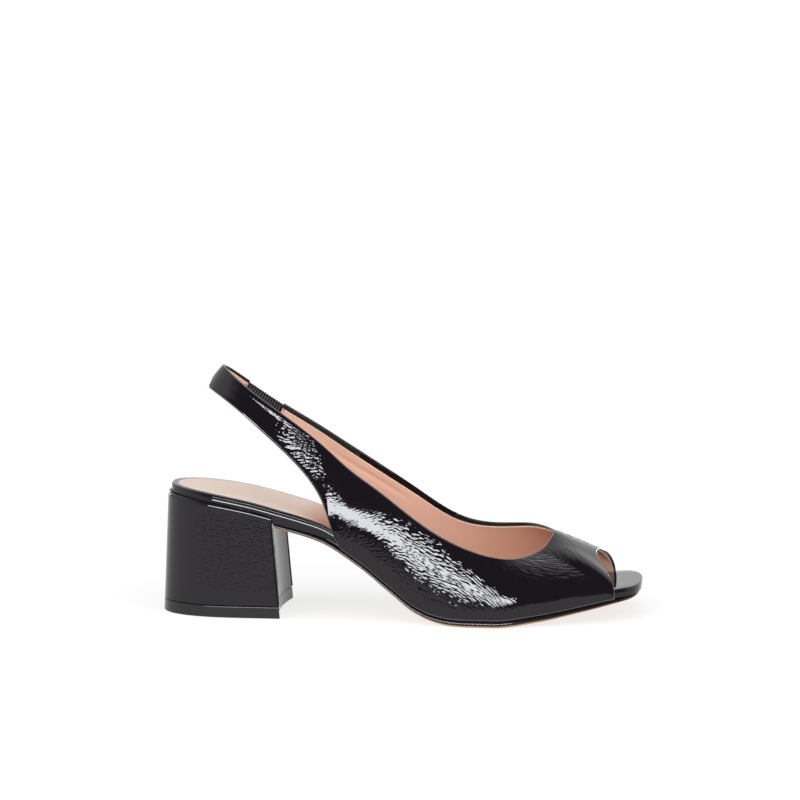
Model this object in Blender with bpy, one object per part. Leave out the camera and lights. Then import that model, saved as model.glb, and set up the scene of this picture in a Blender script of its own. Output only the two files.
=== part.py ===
"""Right-foot peep-toe slingback shoe with a block heel, in metres, +X to the toe, +Y medial, +Z up.

The tables are a sample last in millimetres. Four driving sizes grade it: length, ball width,
heel height and instep height. The shoe stands on z = 0 with its box centred on the origin.
"""
from collections import namedtuple

import bmesh
import bpy
import numpy as np

MM = 0.001

# Driving sizes, millimetres
SHOE_LENGTH = 247.0
BALL_WIDTH = 84.0
HEEL_HEIGHT = 66.0
INSTEP_HEIGHT = 42.0

# Sizes of the sample last that the tables are drawn on
SAMPLE_LENGTH = 247.0
SAMPLE_BALL = 84.0
SAMPLE_HEEL = 66.0
SAMPLE_INSTEP = 42.0
TOPLINE_GRADE = (INSTEP_HEIGHT / SAMPLE_INSTEP) / (HEEL_HEIGHT / SAMPLE_HEEL)

# Walls, edges and clearances
WALL = 1.8
ELASTIC_THICKNESS = 1.3
FIT_GAP = 0.3
SOCK_THICKNESS = 1.0
SOCK_MARGIN = 3.2
FEATHER_INSET = 0.9

# Heel and top piece
HEEL_AXIS_Y = -3.0
HEEL_HALF_WIDTH = 26.6
HEEL_BACK_ROUND = 45.0
HEEL_BACK_POWER = 2.5
HEEL_BACK_TOP = -120.8
HEEL_BREAST_TOP = -64.6
HEEL_BREAST_BOTTOM = -60.0
HEEL_BREAST_HOLLOW = 3.0
HEEL_LIP_DROP = 4.2
TOP_PIECE_HEIGHT = 6.2

# Ends of the sole's plan
BOARD_BACK = -119.2
TOE_TIP = SAMPLE_LENGTH / 2
SEAT_ROUND = 42.0
SEAT_POWER = 2.3
TOE_ROUND = 15.5
TOE_POWER = 2.8
SOCK_FRONT = 98.0
OUTSOLE_BACK = -66.0
OUTSOLE_TOE_SETBACK = 1.0

# Mesh density
SOLE_STATIONS = 44
HEEL_SIDE_STATIONS = 18
HEEL_BREAST_STATIONS = 9
HEEL_LEVELS = 7
UPPER_STATIONS = 116
UPPER_ROWS = 9
ELASTIC_STATIONS = 12
ELASTIC_ROWS = 4
SPLINE_OVERLAP = 4
TANGENT_STEP = 9.0
SHARP_ANGLE = np.radians(40)

# Sole sections: underside height, outsole and board thickness, outline on both sides
SoleRow = namedtuple("SoleRow", "x under sole board lateral medial")
SOLE = [
    SoleRow(-124.0, 57.2, 2.0, 7.4, -27.8, 21.8),
    SoleRow(-100.0, 54.2, 2.0, 7.5, -27.8, 21.8),
    SoleRow(-80.0, 50.8, 2.0, 7.5, -27.9, 21.9),
    SoleRow(-62.0, 46.5, 2.0, 7.3, -28.4, 22.2),
    SoleRow(-40.0, 40.4, 2.0, 6.5, -29.7, 22.6),
    SoleRow(-18.6, 27.3, 2.0, 5.8, -30.9, 22.9),
    SoleRow(-2.7, 14.8, 2.1, 5.2, -33.0, 24.8),
    SoleRow(10.0, 5.7, 2.4, 4.8, -36.4, 28.2),
    SoleRow(20.0, 1.5, 2.7, 4.4, -38.9, 32.0),
    SoleRow(28.0, 0.0, 2.9, 4.3, -40.6, 35.2),
    SoleRow(50.0, 0.0, 3.0, 4.3, -41.8, 41.0),
    SoleRow(72.0, 2.3, 2.8, 4.5, -36.8, 41.9),
    SoleRow(94.0, 6.3, 2.2, 4.7, -28.6, 40.2),
    SoleRow(111.0, 9.6, 1.9, 4.7, -22.2, 37.4),
    SoleRow(124.0, 11.7, 1.7, 3.9, -20.6, 36.2),
]

# How far the board's edge lies inside the outline
InsetRow = namedtuple("InsetRow", "x inset")
BOARD_INSET = [
    InsetRow(-124.0, 0.0),
    InsetRow(-66.0, 0.2),
    InsetRow(-48.0, 1.0),
    InsetRow(-36.0, 3.2),
    InsetRow(70.0, 3.2),
    InsetRow(96.0, 4.6),
    InsetRow(124.0, 3.8),
]

# How far the outsole's edge comes in under the toe of the board
OUTSOLE_INSET = [
    InsetRow(-124.0, 0.0),
    InsetRow(102.0, 0.0),
    InsetRow(114.0, 2.4),
    InsetRow(124.0, 2.8),
]

# Edge profiles: how far in from the outline, and how far up the thickness
EdgeStep = namedtuple("EdgeStep", "inset rise")
OUTSOLE_EDGE = [
    EdgeStep(1.3, 0.0),
    EdgeStep(0.5, 0.2),
    EdgeStep(0.5, 0.5),
    EdgeStep(0.0, 0.6),
    EdgeStep(0.0, 1.0),
]
BOARD_EDGE = [
    EdgeStep(0.8, 0.0),
    EdgeStep(0.0, 0.2),
    EdgeStep(0.0, 0.78),
    EdgeStep(0.4, 0.94),
    EdgeStep(1.1, 1.0),
]
STRAIGHT_EDGE = [EdgeStep(0.0, 0.0), EdgeStep(0.0, 1.0)]

# Sections of the upper round its ring, from the vamp's ridge along the lateral side, round the
# back and home along the medial side. A row with low_y None stands on the sole's edge. Foot and
# brow swell the section above its lower edge and below its topline.
UpperRow = namedtuple("UpperRow", "name low_x low_y low_z top_x top_y top_z foot brow")
UPPER = [
    UpperRow("ridge", 100.3, 8.0, 32.0, 77.6, 4.5, 42.0, 0.0, 0.0),
    UpperRow("lateral shoulder", 105.4, -12.0, 25.6, 76.2, -3.4, 39.2, 3.2, 1.6),
    UpperRow("lateral toe edge", 110.2, -20.2, 18.8, 74.0, -8.8, 36.6, 7.6, 4.0),
    UpperRow("lateral toe corner", 111.0, None, None, 71.8, -12.0, 35.2, 9.6, 4.8),
    UpperRow("lateral toe", 97.0, None, None, 67.0, -18.0, 33.7, 10.6, 5.2),
    UpperRow("little toe", 79.0, None, None, 60.9, -25.0, 33.2, 7.6, 4.6),
    UpperRow("lateral ball", 52.0, None, None, 47.2, -32.5, 35.5, 3.2, 3.0),
    UpperRow("behind the ball", 24.0, None, None, 23.9, -32.2, 44.4, 1.7, 2.2),
    UpperRow("lateral waist", 2.0, None, None, 3.6, -27.5, 57.0, 2.0, 1.9),
    UpperRow("lateral quarter", -16.0, None, None, -11.6, -24.5, 68.1, 1.9, 1.9),
    UpperRow("lateral quarter corner", -28.5, None, None, -23.2, -23.0, 76.1, 2.0, 1.6),
    UpperRow("lateral quarter back", -37.4, -29.4, 59.0, -35.7, -22.6, 86.9, 0.4, 1.2),
    UpperRow("lateral strap root", -49.0, -28.9, 77.0, -47.6, -24.3, 97.0, 0.2, 0.9),
    UpperRow("lateral strap", -66.0, -28.0, 93.9, -61.5, -24.1, 107.3, -0.2, 0.4),
    UpperRow("lateral strap bend", -86.8, -22.8, 110.4, -78.9, -20.4, 119.5, 0.2, 0.6),
    UpperRow("strap back", -100.5, -3.0, 115.8, -92.1, -3.0, 127.6, 0.8, 0.8),
    UpperRow("elastic rear", -88.6, 15.6, 105.5, -80.7, 13.6, 116.8, 0.8, 0.8),
    UpperRow("elastic front", -69.9, 21.0, 91.1, -63.3, 17.8, 104.5, 1.0, 1.0),
    UpperRow("medial strap root", -50.0, 22.8, 75.6, -46.4, 18.4, 94.4, 1.3, 1.3),
    UpperRow("medial quarter back", -37.4, 23.2, 59.0, -32.2, 18.4, 85.5, 1.6, 1.6),
    UpperRow("medial quarter corner", -28.5, None, None, -21.2, 19.2, 78.3, 1.6, 1.6),
    UpperRow("medial quarter", -14.0, None, None, -7.2, 20.8, 69.0, 1.6, 1.6),
    UpperRow("medial waist", 4.0, None, None, 6.6, 23.4, 59.3, 2.0, 2.0),
    UpperRow("medial instep", 26.0, None, None, 24.4, 27.0, 47.3, 3.0, 2.8),
    UpperRow("medial ball", 58.0, None, None, 44.2, 28.6, 42.0, 4.6, 4.2),
    UpperRow("big toe", 82.0, None, None, 58.1, 25.4, 42.6, 5.8, 5.0),
    UpperRow("medial toe", 98.0, None, None, 65.5, 21.2, 43.2, 6.6, 4.8),
    UpperRow("medial toe corner", 108.8, None, None, 70.2, 16.8, 43.2, 6.4, 3.4),
    UpperRow("medial toe edge", 108.2, 35.0, 19.0, 73.0, 13.6, 43.0, 4.6, 2.0),
    UpperRow("medial shoulder", 104.8, 25.6, 27.6, 75.7, 9.6, 42.7, 0.8, 0.4),
]
FRONT_CORNERS = ("lateral toe corner", "medial toe corner")
QUARTER_CORNERS = ("lateral quarter corner", "medial quarter corner")
ELASTIC_ENDS = ("elastic rear", "elastic front")
ELASTIC_WIDTH_SHARE = 0.86


def graded(points):
    """Grade points of the sample last to the driving sizes, in metres."""
    grade = SHOE_LENGTH / SAMPLE_LENGTH, BALL_WIDTH / SAMPLE_BALL, HEEL_HEIGHT / SAMPLE_HEEL
    return np.asarray(points, float) * grade * MM


def monotone_curve(xs, ys):
    """Smooth curve through rows of a table that never overshoots them."""
    xs = np.asarray(xs, float)
    ys = np.asarray(ys, float)
    step = np.diff(xs)
    rise = np.diff(ys) / step
    before = rise[:-1]
    after = rise[1:]
    turning = before * after <= 0.0
    weight_a = 2 * step[1:] + step[:-1]
    weight_b = step[1:] + 2 * step[:-1]
    safe_before = np.where(turning, 1.0, before)
    safe_after = np.where(turning, 1.0, after)
    mean = (weight_a + weight_b) / (weight_a / safe_before + weight_b / safe_after)
    slope = np.concatenate(([rise[0]], np.where(turning, 0.0, mean), [rise[-1]]))

    def at(x):
        x = np.clip(x, xs[0], xs[-1])
        i = np.clip(np.searchsorted(xs, x) - 1, 0, len(step) - 1)
        t = (x - xs[i]) / step[i]
        held = (1 + 2 * t) * (1 - t) ** 2 * ys[i] + t * t * (3 - 2 * t) * ys[i + 1]
        bent = t * (1 - t) ** 2 * slope[i] + t * t * (t - 1) * slope[i + 1]
        return held + bent * step[i]

    return at


def smooth_curve(knots, points):
    """Natural cubic spline through points."""
    knots = np.asarray(knots, float)
    points = np.asarray(points, float)
    step = np.diff(knots)
    system = np.eye(len(knots))
    target = np.zeros_like(points)
    for i in range(1, len(knots) - 1):
        system[i, i - 1:i + 2] = step[i - 1], 2 * (step[i - 1] + step[i]), step[i]
        rise_before = (points[i] - points[i - 1]) / step[i - 1]
        rise_after = (points[i + 1] - points[i]) / step[i]
        target[i] = 6 * (rise_after - rise_before)
    bend = np.linalg.solve(system, target)

    def at(r):
        i = np.clip(np.searchsorted(knots, r) - 1, 0, len(step) - 1)
        a = ((knots[i + 1] - r) / step[i])[:, None]
        b = ((r - knots[i]) / step[i])[:, None]
        sag = (a ** 3 - a) * bend[i] + (b ** 3 - b) * bend[i + 1]
        return a * points[i] + b * points[i + 1] + sag * (step[i] ** 2)[:, None] / 6

    return at


def table_column(table, name):
    return monotone_curve([row.x for row in table], [getattr(row, name) for row in table])


under = table_column(SOLE, "under")
sole_thickness = table_column(SOLE, "sole")
board_thickness = table_column(SOLE, "board")
lateral_edge = table_column(SOLE, "lateral")
medial_edge = table_column(SOLE, "medial")
board_inset = table_column(BOARD_INSET, "inset")
outsole_inset = table_column(OUTSOLE_INSET, "inset")


def sole_top(x):
    return under(x) + sole_thickness(x)


def board_under(x):
    return sole_top(x) + FIT_GAP


def board_top(x):
    return board_under(x) + board_thickness(x)


def sock_under(x):
    return board_top(x) + FIT_GAP


def sock_top(x):
    return sock_under(x) + SOCK_THICKNESS


def sock_inset(x):
    return board_inset(x) + SOCK_MARGIN


def lip_height(x):
    return board_top(x) - HEEL_LIP_DROP


def rounded_end(distance, length, power):
    """Share of the half-width left at a distance from a rounded end."""
    gone = np.clip(1 - distance / length, 0.0, 1.0)
    return (1 - gone ** power) ** (1 / power)


def seat_end(distance):
    return rounded_end(distance, SEAT_ROUND, SEAT_POWER)


def breast_end(distance):
    """End that fills the hollow of the heel's breast."""
    return np.sqrt(np.clip(distance / HEEL_BREAST_HOLLOW, 0.0, 1.0))


def outline(x, inset, back, tip, back_end):
    """Lateral and medial edge of the plan at x, moved in by inset, with its shaped ends."""
    middle = (lateral_edge(x) + medial_edge(x)) / 2
    half = (medial_edge(x) - lateral_edge(x)) / 2 - inset
    half = half * rounded_end(tip - x, TOE_ROUND, TOE_POWER) * back_end(x - back)
    return middle - half, middle + half


def new_object(name, points, faces, material):
    """Mesh object from points in metres and faces."""
    mesh = bpy.data.meshes.new(name)
    bm = bmesh.new()
    verts = [bm.verts.new(point) for point in points]
    for face in faces:
        bm.faces.new([verts[i] for i in face])
    bmesh.ops.recalc_face_normals(bm, faces=bm.faces)
    bm.to_mesh(mesh)
    bm.free()
    mesh.shade_smooth()
    mesh.set_sharp_from_angle(angle=SHARP_ANGLE)
    mesh.materials.append(material)
    thing = bpy.data.objects.new(name, mesh)
    bpy.context.scene.collection.objects.link(thing)
    return thing


def plain_material(name, colour, roughness):
    material = bpy.data.materials.new(name)
    material.use_nodes = True
    shader = material.node_tree.nodes["Principled BSDF"]
    shader.inputs["Base Color"].default_value = (*colour, 1.0)
    shader.inputs["Roughness"].default_value = roughness
    shader.inputs["Metallic"].default_value = 0.0
    return material


def stacked_loops(loops):
    """Points and side faces of closed loops of one length, one above the other."""
    count = len(loops[0])
    faces = []
    for level in range(len(loops) - 1):
        for i in range(count):
            j = (i + 1) % count
            low = level * count
            high = low + count
            faces.append((low + i, low + j, high + j, high + i))
    return np.concatenate(loops), faces


def slab(name, material, back, tip, inset, edge, bottom, top, back_end=seat_end):
    """Sheet of the shoe's plan between two heights along x, with an edge profile."""
    spread = (1 - np.cos(np.pi * np.arange(1, SOLE_STATIONS) / SOLE_STATIONS)) / 2
    loops = []
    for step in edge:
        start = back + step.inset
        end = tip - step.inset
        x = start + spread * (end - start)
        lateral, medial = outline(x, inset(x) + step.inset, start, end, back_end)
        z = bottom(x) + step.rise * (top(x) - bottom(x))
        near_side = np.stack([x, lateral, z], -1)
        far_side = np.stack([x, medial, z], -1)
        loops.append(np.concatenate([near_side, far_side[::-1]]))
    points, faces = stacked_loops(loops)
    count = 2 * len(spread)
    last = (len(edge) - 1) * count
    for i in range(len(spread) - 1):
        j = count - 1 - i
        faces.append((i, i + 1, j - 1, j))
        faces.append((last + i, last + i + 1, last + j - 1, last + j))
    return new_object(name, graded(points), faces, material)


def heel_loop(z):
    """Plan of the heel at a height: round back, straight sides, hollow breast."""
    share = z / (SAMPLE_HEEL - HEEL_LIP_DROP)
    back = -SAMPLE_LENGTH / 2 + share * (HEEL_BACK_TOP + SAMPLE_LENGTH / 2)
    breast = HEEL_BREAST_BOTTOM + share * (HEEL_BREAST_TOP - HEEL_BREAST_BOTTOM)
    turn = np.pi / 2 * np.arange(1, HEEL_SIDE_STATIONS + 1) / HEEL_SIDE_STATIONS
    from_back = (1 - np.cos(turn)) * (breast - back)
    half = HEEL_HALF_WIDTH * rounded_end(from_back, HEEL_BACK_ROUND, HEEL_BACK_POWER)
    x = back + from_back
    breast_y = np.linspace(1, -1, HEEL_BREAST_STATIONS)[1:-1]
    breast_x = breast - HEEL_BREAST_HOLLOW * (1 - breast_y ** 2)
    xs = np.concatenate([x[::-1], x, breast_x])
    ys = HEEL_AXIS_Y + np.concatenate([-half[::-1], half, breast_y * half[-1]])
    return xs, ys


def heel_solid(name, material, levels, height_at):
    """Stack of heel plans; height_at gives z for a share of the height and x."""
    loops = []
    for share, plan_z in levels:
        x, y = heel_loop(plan_z)
        loops.append(np.stack([x, y, height_at(share, x)], -1))
    points, faces = stacked_loops(loops)
    count = len(loops[0])
    faces.append(tuple(range(count)))
    faces.append(tuple(range(len(points) - count, len(points))))
    return new_object(name, graded(points), faces, material)


def make_heel(material):
    """Block cut by the board, so that its lip rises round the heel seat."""
    low = TOP_PIECE_HEIGHT + FIT_GAP
    lip = SAMPLE_HEEL - HEEL_LIP_DROP
    levels = [(share, low + share * (lip - low)) for share in np.linspace(0, 1, HEEL_LEVELS)]

    def block_height(share, x):
        return low + share * (lip_height(x) - low)

    def seat_inset(x):
        return board_inset(x) - FIT_GAP

    def seat_top(x):
        return board_top(x) + SAMPLE_HEEL

    block = heel_solid("heel_block", material, levels, block_height)
    seat = slab(
        "heel_seat_cut", material, BOARD_BACK - FIT_GAP, TOE_TIP, seat_inset, STRAIGHT_EDGE,
        sole_top, seat_top,
    )
    seat.hide_render = True
    seat.display_type = "WIRE"
    cut = block.modifiers.new("seat", "BOOLEAN")
    cut.object = seat
    cut.operation = "DIFFERENCE"
    cut.solver = "EXACT"


def make_top_piece(material):
    levels = [(0.0, 0.0), (1.0, TOP_PIECE_HEIGHT)]

    def piece_height(share, x):
        return np.full_like(x, share * TOP_PIECE_HEIGHT)

    heel_solid("heel_top_piece", material, levels, piece_height)


def make_soles(sole_material, board_material, sock_material):
    slab(
        "outsole", sole_material, OUTSOLE_BACK, TOE_TIP - OUTSOLE_TOE_SETBACK, outsole_inset,
        OUTSOLE_EDGE, under, sole_top, back_end=breast_end,
    )
    slab(
        "insole_board", board_material, BOARD_BACK, TOE_TIP, board_inset,
        BOARD_EDGE, board_under, board_top,
    )
    slab(
        "insole_sock", sock_material, BOARD_BACK + SOCK_MARGIN, SOCK_FRONT, sock_inset,
        STRAIGHT_EDGE, sock_under, sock_top,
    )


def low_point(row):
    """Lower edge of a section: stated, or on the sole's edge."""
    if row.low_y is not None:
        return row.low_x, row.low_y, row.low_z
    edge = medial_edge if row.top_y > 0 else lateral_edge
    inward = -FEATHER_INSET if row.top_y > 0 else FEATHER_INSET
    return row.low_x, edge(row.low_x) + inward, board_under(row.low_x)


class UpperForm:
    """The upper's outer surface: r runs round the ring, v from the lower edge to the topline."""

    def __init__(self):
        names = [row.name for row in UPPER]
        count = len(names)
        low = np.array([low_point(row) for row in UPPER], float)
        top = np.array([(row.top_x, row.top_y, row.top_z * TOPLINE_GRADE) for row in UPPER], float)
        swells = np.array([(row.foot, row.brow) for row in UPPER], float)
        low_reach = np.linalg.norm(np.roll(low, -1, axis=0) - low, axis=1)
        top_reach = np.linalg.norm(np.roll(top, -1, axis=0) - top, axis=1)
        knots = np.concatenate([[0.0], np.cumsum((low_reach + top_reach) / 2)])
        self.length = knots[-1]
        self.at_row = dict(zip(names, knots))

        def spline(rows, points):
            turned = knots[rows % count] + self.length * (rows // count)
            return smooth_curve(turned, points[rows % count])

        lateral_corner, medial_corner = (names.index(name) for name in FRONT_CORNERS)
        ring = np.arange(-SPLINE_OVERLAP, count + SPLINE_OVERLAP + 1)
        self.top_ring = spline(ring, top)
        self.swell_ring = spline(ring, swells)
        self.low_long = spline(np.arange(lateral_corner, medial_corner + 1), low)
        self.low_front = spline(np.arange(medial_corner, lateral_corner + count + 1), low)
        self.corners = knots[lateral_corner], knots[medial_corner]
        lateral_end, medial_start = (self.at_row[name] for name in QUARTER_CORNERS)
        self.sole_runs = [
            (self.corners[0], lateral_end, lateral_edge, FEATHER_INSET),
            (medial_start, self.corners[1], medial_edge, -FEATHER_INSET),
        ]

    def low_edge(self, r):
        """Lower edge of the ring; between the named rows it follows the sole's edge."""
        r = r % self.length
        on_sides = (r >= self.corners[0]) & (r <= self.corners[1])
        ahead = np.where(r < self.corners[0], r + self.length, r)
        edge = np.where(on_sides[:, None], self.low_long(r), self.low_front(ahead))
        for start, end, side, inward in self.sole_runs:
            on_sole = (r >= start) & (r <= end)
            x = edge[:, 0]
            edge[:, 1] = np.where(on_sole, side(x) + inward, edge[:, 1])
            edge[:, 2] = np.where(on_sole, board_under(x), edge[:, 2])
        return edge

    def surface(self, r, v):
        """Points of the sections at r, each a curve from low to top with its two swells."""
        low = self.low_edge(r)
        top = self.top_ring(r % self.length)
        before = r - TANGENT_STEP
        after = r + TANGENT_STEP
        ahead = self.low_edge(after) + self.top_ring(after % self.length)
        behind = self.low_edge(before) + self.top_ring(before % self.length)
        outward = np.cross(top - low, ahead - behind)
        outward = outward / np.linalg.norm(outward, axis=1)[:, None]
        swells = self.swell_ring(r % self.length)
        a = low + (top - low) / 3 + outward * swells[:, :1]
        b = low + (top - low) * 2 / 3 + outward * swells[:, 1:]
        v = v[None, :, None]
        low, a, b, top = (edge[:, None, :] for edge in (low, a, b, top))
        lower_half = low * (1 - v) ** 3 + a * 3 * v * (1 - v) ** 2
        return lower_half + b * 3 * v * v * (1 - v) + top * v ** 3


def band(name, material, form, start, end, stations, margin, rows, thickness):
    """Strip of the upper's surface between two places on the ring, closed by an inner face."""
    r = np.linspace(start, end, stations)
    v = np.linspace(margin, 1 - margin, rows)
    outer = form.surface(r, v)
    along, across = np.gradient(outer, axis=(0, 1))
    outward = np.cross(across, along)
    outward = outward / np.linalg.norm(outward, axis=2)[:, :, None]
    inner = outer - outward * thickness
    inner[:, 0, 2] = np.maximum(inner[:, 0, 2], outer[:, 0, 2])
    points = np.concatenate([outer.reshape(-1, 3), inner.reshape(-1, 3)])
    inside = stations * rows
    last_station = rows * (stations - 1)
    faces = []
    for i in range(stations - 1):
        for j in range(rows - 1):
            corner = i * rows + j
            quad = (corner, corner + 1, corner + rows + 1, corner + rows)
            faces.append(quad)
            faces.append(tuple(inside + k for k in quad))
    for row in (0, rows - 1):
        for k in range(row, last_station + row, rows):
            faces.append((k, k + rows, inside + k + rows, inside + k))
    for first in (0, last_station):
        for k in range(first, first + rows - 1):
            faces.append((k, k + 1, inside + k + 1, inside + k))
    return new_object(name, graded(points), faces, material)


def make_upper(leather, elastic):
    form = UpperForm()
    rear, front = (form.at_row[name] for name in ELASTIC_ENDS)
    margin = (1 - ELASTIC_WIDTH_SHARE) / 2
    band("upper", leather, form, front - form.length, rear, UPPER_STATIONS, 0.0, UPPER_ROWS, WALL)
    band(
        "elastic_insert", elastic, form, rear + FIT_GAP, front - FIT_GAP, ELASTIC_STATIONS, margin,
        ELASTIC_ROWS, ELASTIC_THICKNESS,
    )


def main():
    for thing in list(bpy.data.objects):
        bpy.data.objects.remove(thing)
    patent = plain_material("black_patent", (0.012, 0.011, 0.013), 0.18)
    tan_sole = plain_material("tan_sole", (0.42, 0.25, 0.13), 0.5)
    board_wrap = plain_material("board_patent", (0.014, 0.013, 0.015), 0.15)
    nude_sock = plain_material("nude_sock", (0.74, 0.58, 0.48), 0.55)
    heel_wrap = plain_material("heel_patent", (0.012, 0.011, 0.013), 0.2)
    lift_rubber = plain_material("lift_rubber", (0.015, 0.014, 0.015), 0.45)
    gathered = plain_material("black_elastic", (0.01, 0.01, 0.011), 0.8)
    make_soles(tan_sole, board_wrap, nude_sock)
    make_heel(heel_wrap)
    make_top_piece(lift_rubber)
    make_upper(patent, gathered)


main()
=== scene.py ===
# %% [markdown]
# # A peep-toe slingback in crinkled black patent
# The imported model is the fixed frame: seven plain solids that say where every piece of the shoe is.
# This lesson dresses them. Each solid is replaced by a finer piece of the same place and size, made
# from the same few tables of the shoe's last, and every surface gets a finish worked out in nodes.

# %% Load the frame
import math
from collections import namedtuple

import bpy
import numpy as np
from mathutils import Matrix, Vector


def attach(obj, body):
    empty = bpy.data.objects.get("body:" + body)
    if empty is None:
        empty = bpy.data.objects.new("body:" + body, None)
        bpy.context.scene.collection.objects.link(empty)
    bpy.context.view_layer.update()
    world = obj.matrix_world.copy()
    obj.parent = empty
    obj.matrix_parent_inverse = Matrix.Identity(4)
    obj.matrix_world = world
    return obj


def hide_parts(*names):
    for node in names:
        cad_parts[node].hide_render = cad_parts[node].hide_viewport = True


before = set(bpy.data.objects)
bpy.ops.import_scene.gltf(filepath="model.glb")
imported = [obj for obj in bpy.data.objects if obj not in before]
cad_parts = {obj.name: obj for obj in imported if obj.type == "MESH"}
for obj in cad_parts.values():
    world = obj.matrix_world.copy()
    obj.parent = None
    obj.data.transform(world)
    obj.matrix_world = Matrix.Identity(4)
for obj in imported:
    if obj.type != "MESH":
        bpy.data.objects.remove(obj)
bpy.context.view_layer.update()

MM = 0.001
print("nodes:", sorted(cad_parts))

# %% [markdown]
# ## Camera
# The shoe was photographed from its outer side with a long lens, a little above the floor and a
# little towards the toe. A long lens far away keeps heel and toe at nearly one scale, so the camera
# stands two metres off and zooms in, instead of standing close.

# %% Camera
CAMERA_PLACE = (0.198226, -1.946889, 0.412712)
CAMERA_PITCH = 81.199
CAMERA_TURN = 5.85
CAMERA_LENS = 173.7

bpy.ops.object.select_all(action="DESELECT")
bpy.ops.object.camera_add(
    location=CAMERA_PLACE, rotation=(math.radians(CAMERA_PITCH), 0.0, math.radians(CAMERA_TURN)),
)
camera = bpy.context.active_object
camera.name = "camera"
camera.data.lens = CAMERA_LENS
camera.data.clip_end = 100.0
bpy.context.scene.camera = camera
print("camera lens:", camera.data.lens, "mm")

# %% [markdown]
# ## Nodes in few words
# Every finish is a small tree of nodes, and the same few kinds come back all the time: a noise, a fade
# between two levels, a mix, a bump. Each has a short function here, so a finish reads as what it is and
# not as a list of links.

# %% Node helpers
def set_sockets(node, **values):
    """Constant values on a node's own inputs; an underscore stands for a space."""
    for name, value in values.items():
        node.inputs[name.replace("_", " ")].default_value = value


def new_material(name, **values):
    """Material with nodes, its tree and its principled shader with constant values."""
    material = bpy.data.materials.new(name)
    material.use_nodes = True
    tree = material.node_tree
    shader = tree.nodes["Principled BSDF"]
    set_sockets(shader, **values)
    return material, tree, shader


def add_node(tree, kind, **values):
    """Node with constant values on its inputs."""
    node = tree.nodes.new(kind)
    set_sockets(node, **values)
    return node


def put(tree, socket, value):
    """Feed an input with another node's output or with a constant."""
    if isinstance(value, bpy.types.NodeSocket):
        tree.links.new(value, socket)
    else:
        socket.default_value = value


def math_node(tree, operation, first, second=0.0):
    """Maths on two values, each a number or another node's output."""
    node = tree.nodes.new("ShaderNodeMath")
    node.operation = operation
    put(tree, node.inputs[0], first)
    put(tree, node.inputs[1], second)
    return node.outputs["Value"]


def product(tree, first, *others):
    """Values multiplied one after the other."""
    for other in others:
        first = math_node(tree, "MULTIPLY", first, other)
    return first


def fade(tree, value, start, end, low=0.0, high=1.0, shape="SMOOTHSTEP"):
    """Step from a low to a high level while a value runs from start to end."""
    ramp = add_node(tree, "ShaderNodeMapRange", From_Min=start, From_Max=end, To_Min=low, To_Max=high)
    ramp.interpolation_type = shape
    tree.links.new(value, ramp.inputs["Value"])
    return ramp.outputs["Result"]


def blend(tree, amount, first, second, kind="FLOAT"):
    """Mix of two values or, of the kind RGBA, of two colours."""
    mix = tree.nodes.new("ShaderNodeMix")
    mix.data_type = kind
    for name, value in (("Factor", amount), ("A", first), ("B", second)):
        put(tree, mix.inputs[name], value)
    return mix.outputs["Result"]


def flat_place(tree, uv_map="UVMap"):
    """Flat distances on a sheet."""
    node = tree.nodes.new("ShaderNodeUVMap")
    node.uv_map = uv_map
    return node.outputs["UV"]


def object_place(tree):
    return tree.nodes.new("ShaderNodeTexCoord").outputs["Object"]


def axis(tree, vector, name):
    node = tree.nodes.new("ShaderNodeSeparateXYZ")
    tree.links.new(vector, node.inputs["Vector"])
    return node.outputs[name]


def number_attribute(tree, name):
    node = tree.nodes.new("ShaderNodeAttribute")
    node.attribute_name = name
    return node.outputs["Fac"]


def noise(tree, place, scale, detail):
    node = add_node(tree, "ShaderNodeTexNoise", Scale=scale, Detail=detail)
    tree.links.new(place, node.inputs["Vector"])
    return node


# %% Bumps and grains
Grain = namedtuple("Grain", "scale detail depth")


def press_in(tree, shader, height, depth, coated=False):
    """Bump that the skin and, where there is one, its clear coat follow."""
    bump = add_node(tree, "ShaderNodeBump", Strength=1.0, Distance=depth)
    tree.links.new(height, bump.inputs["Height"])
    for name in ("Normal", "Coat Normal") if coated else ("Normal",):
        tree.links.new(bump.outputs["Normal"], shader.inputs[name])


def press_grain(tree, shader, place, grain, coated=False):
    """Fine even grain over the whole piece."""
    height = noise(tree, place, grain.scale, grain.detail).outputs["Fac"]
    press_in(tree, shader, height, grain.depth, coated)


def grained_material(name, colour, grain, **values):
    """Material of one colour with a fine grain."""
    material, tree, shader = new_material(name, Base_Color=colour, **values)
    press_grain(tree, shader, object_place(tree), grain)
    return material


# %% [markdown]
# ## Studio
# Glossy black shows nothing but its surroundings, so the studio is part of the finish. The glowing white
# floor gives the grey of the heel's side and the lower walls. A wide low softbox behind the camera gives
# the bright band on the outer side, and two behind the shoe do the same for the inner side. The room is
# dark on the camera's side and pale behind the shoe, which makes the wall black above the band and the
# vamp's top grey. Two wide soft suns light the floor and the lining evenly. They stay out of the
# reflections, and so does the floor far from the shoe.

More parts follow.
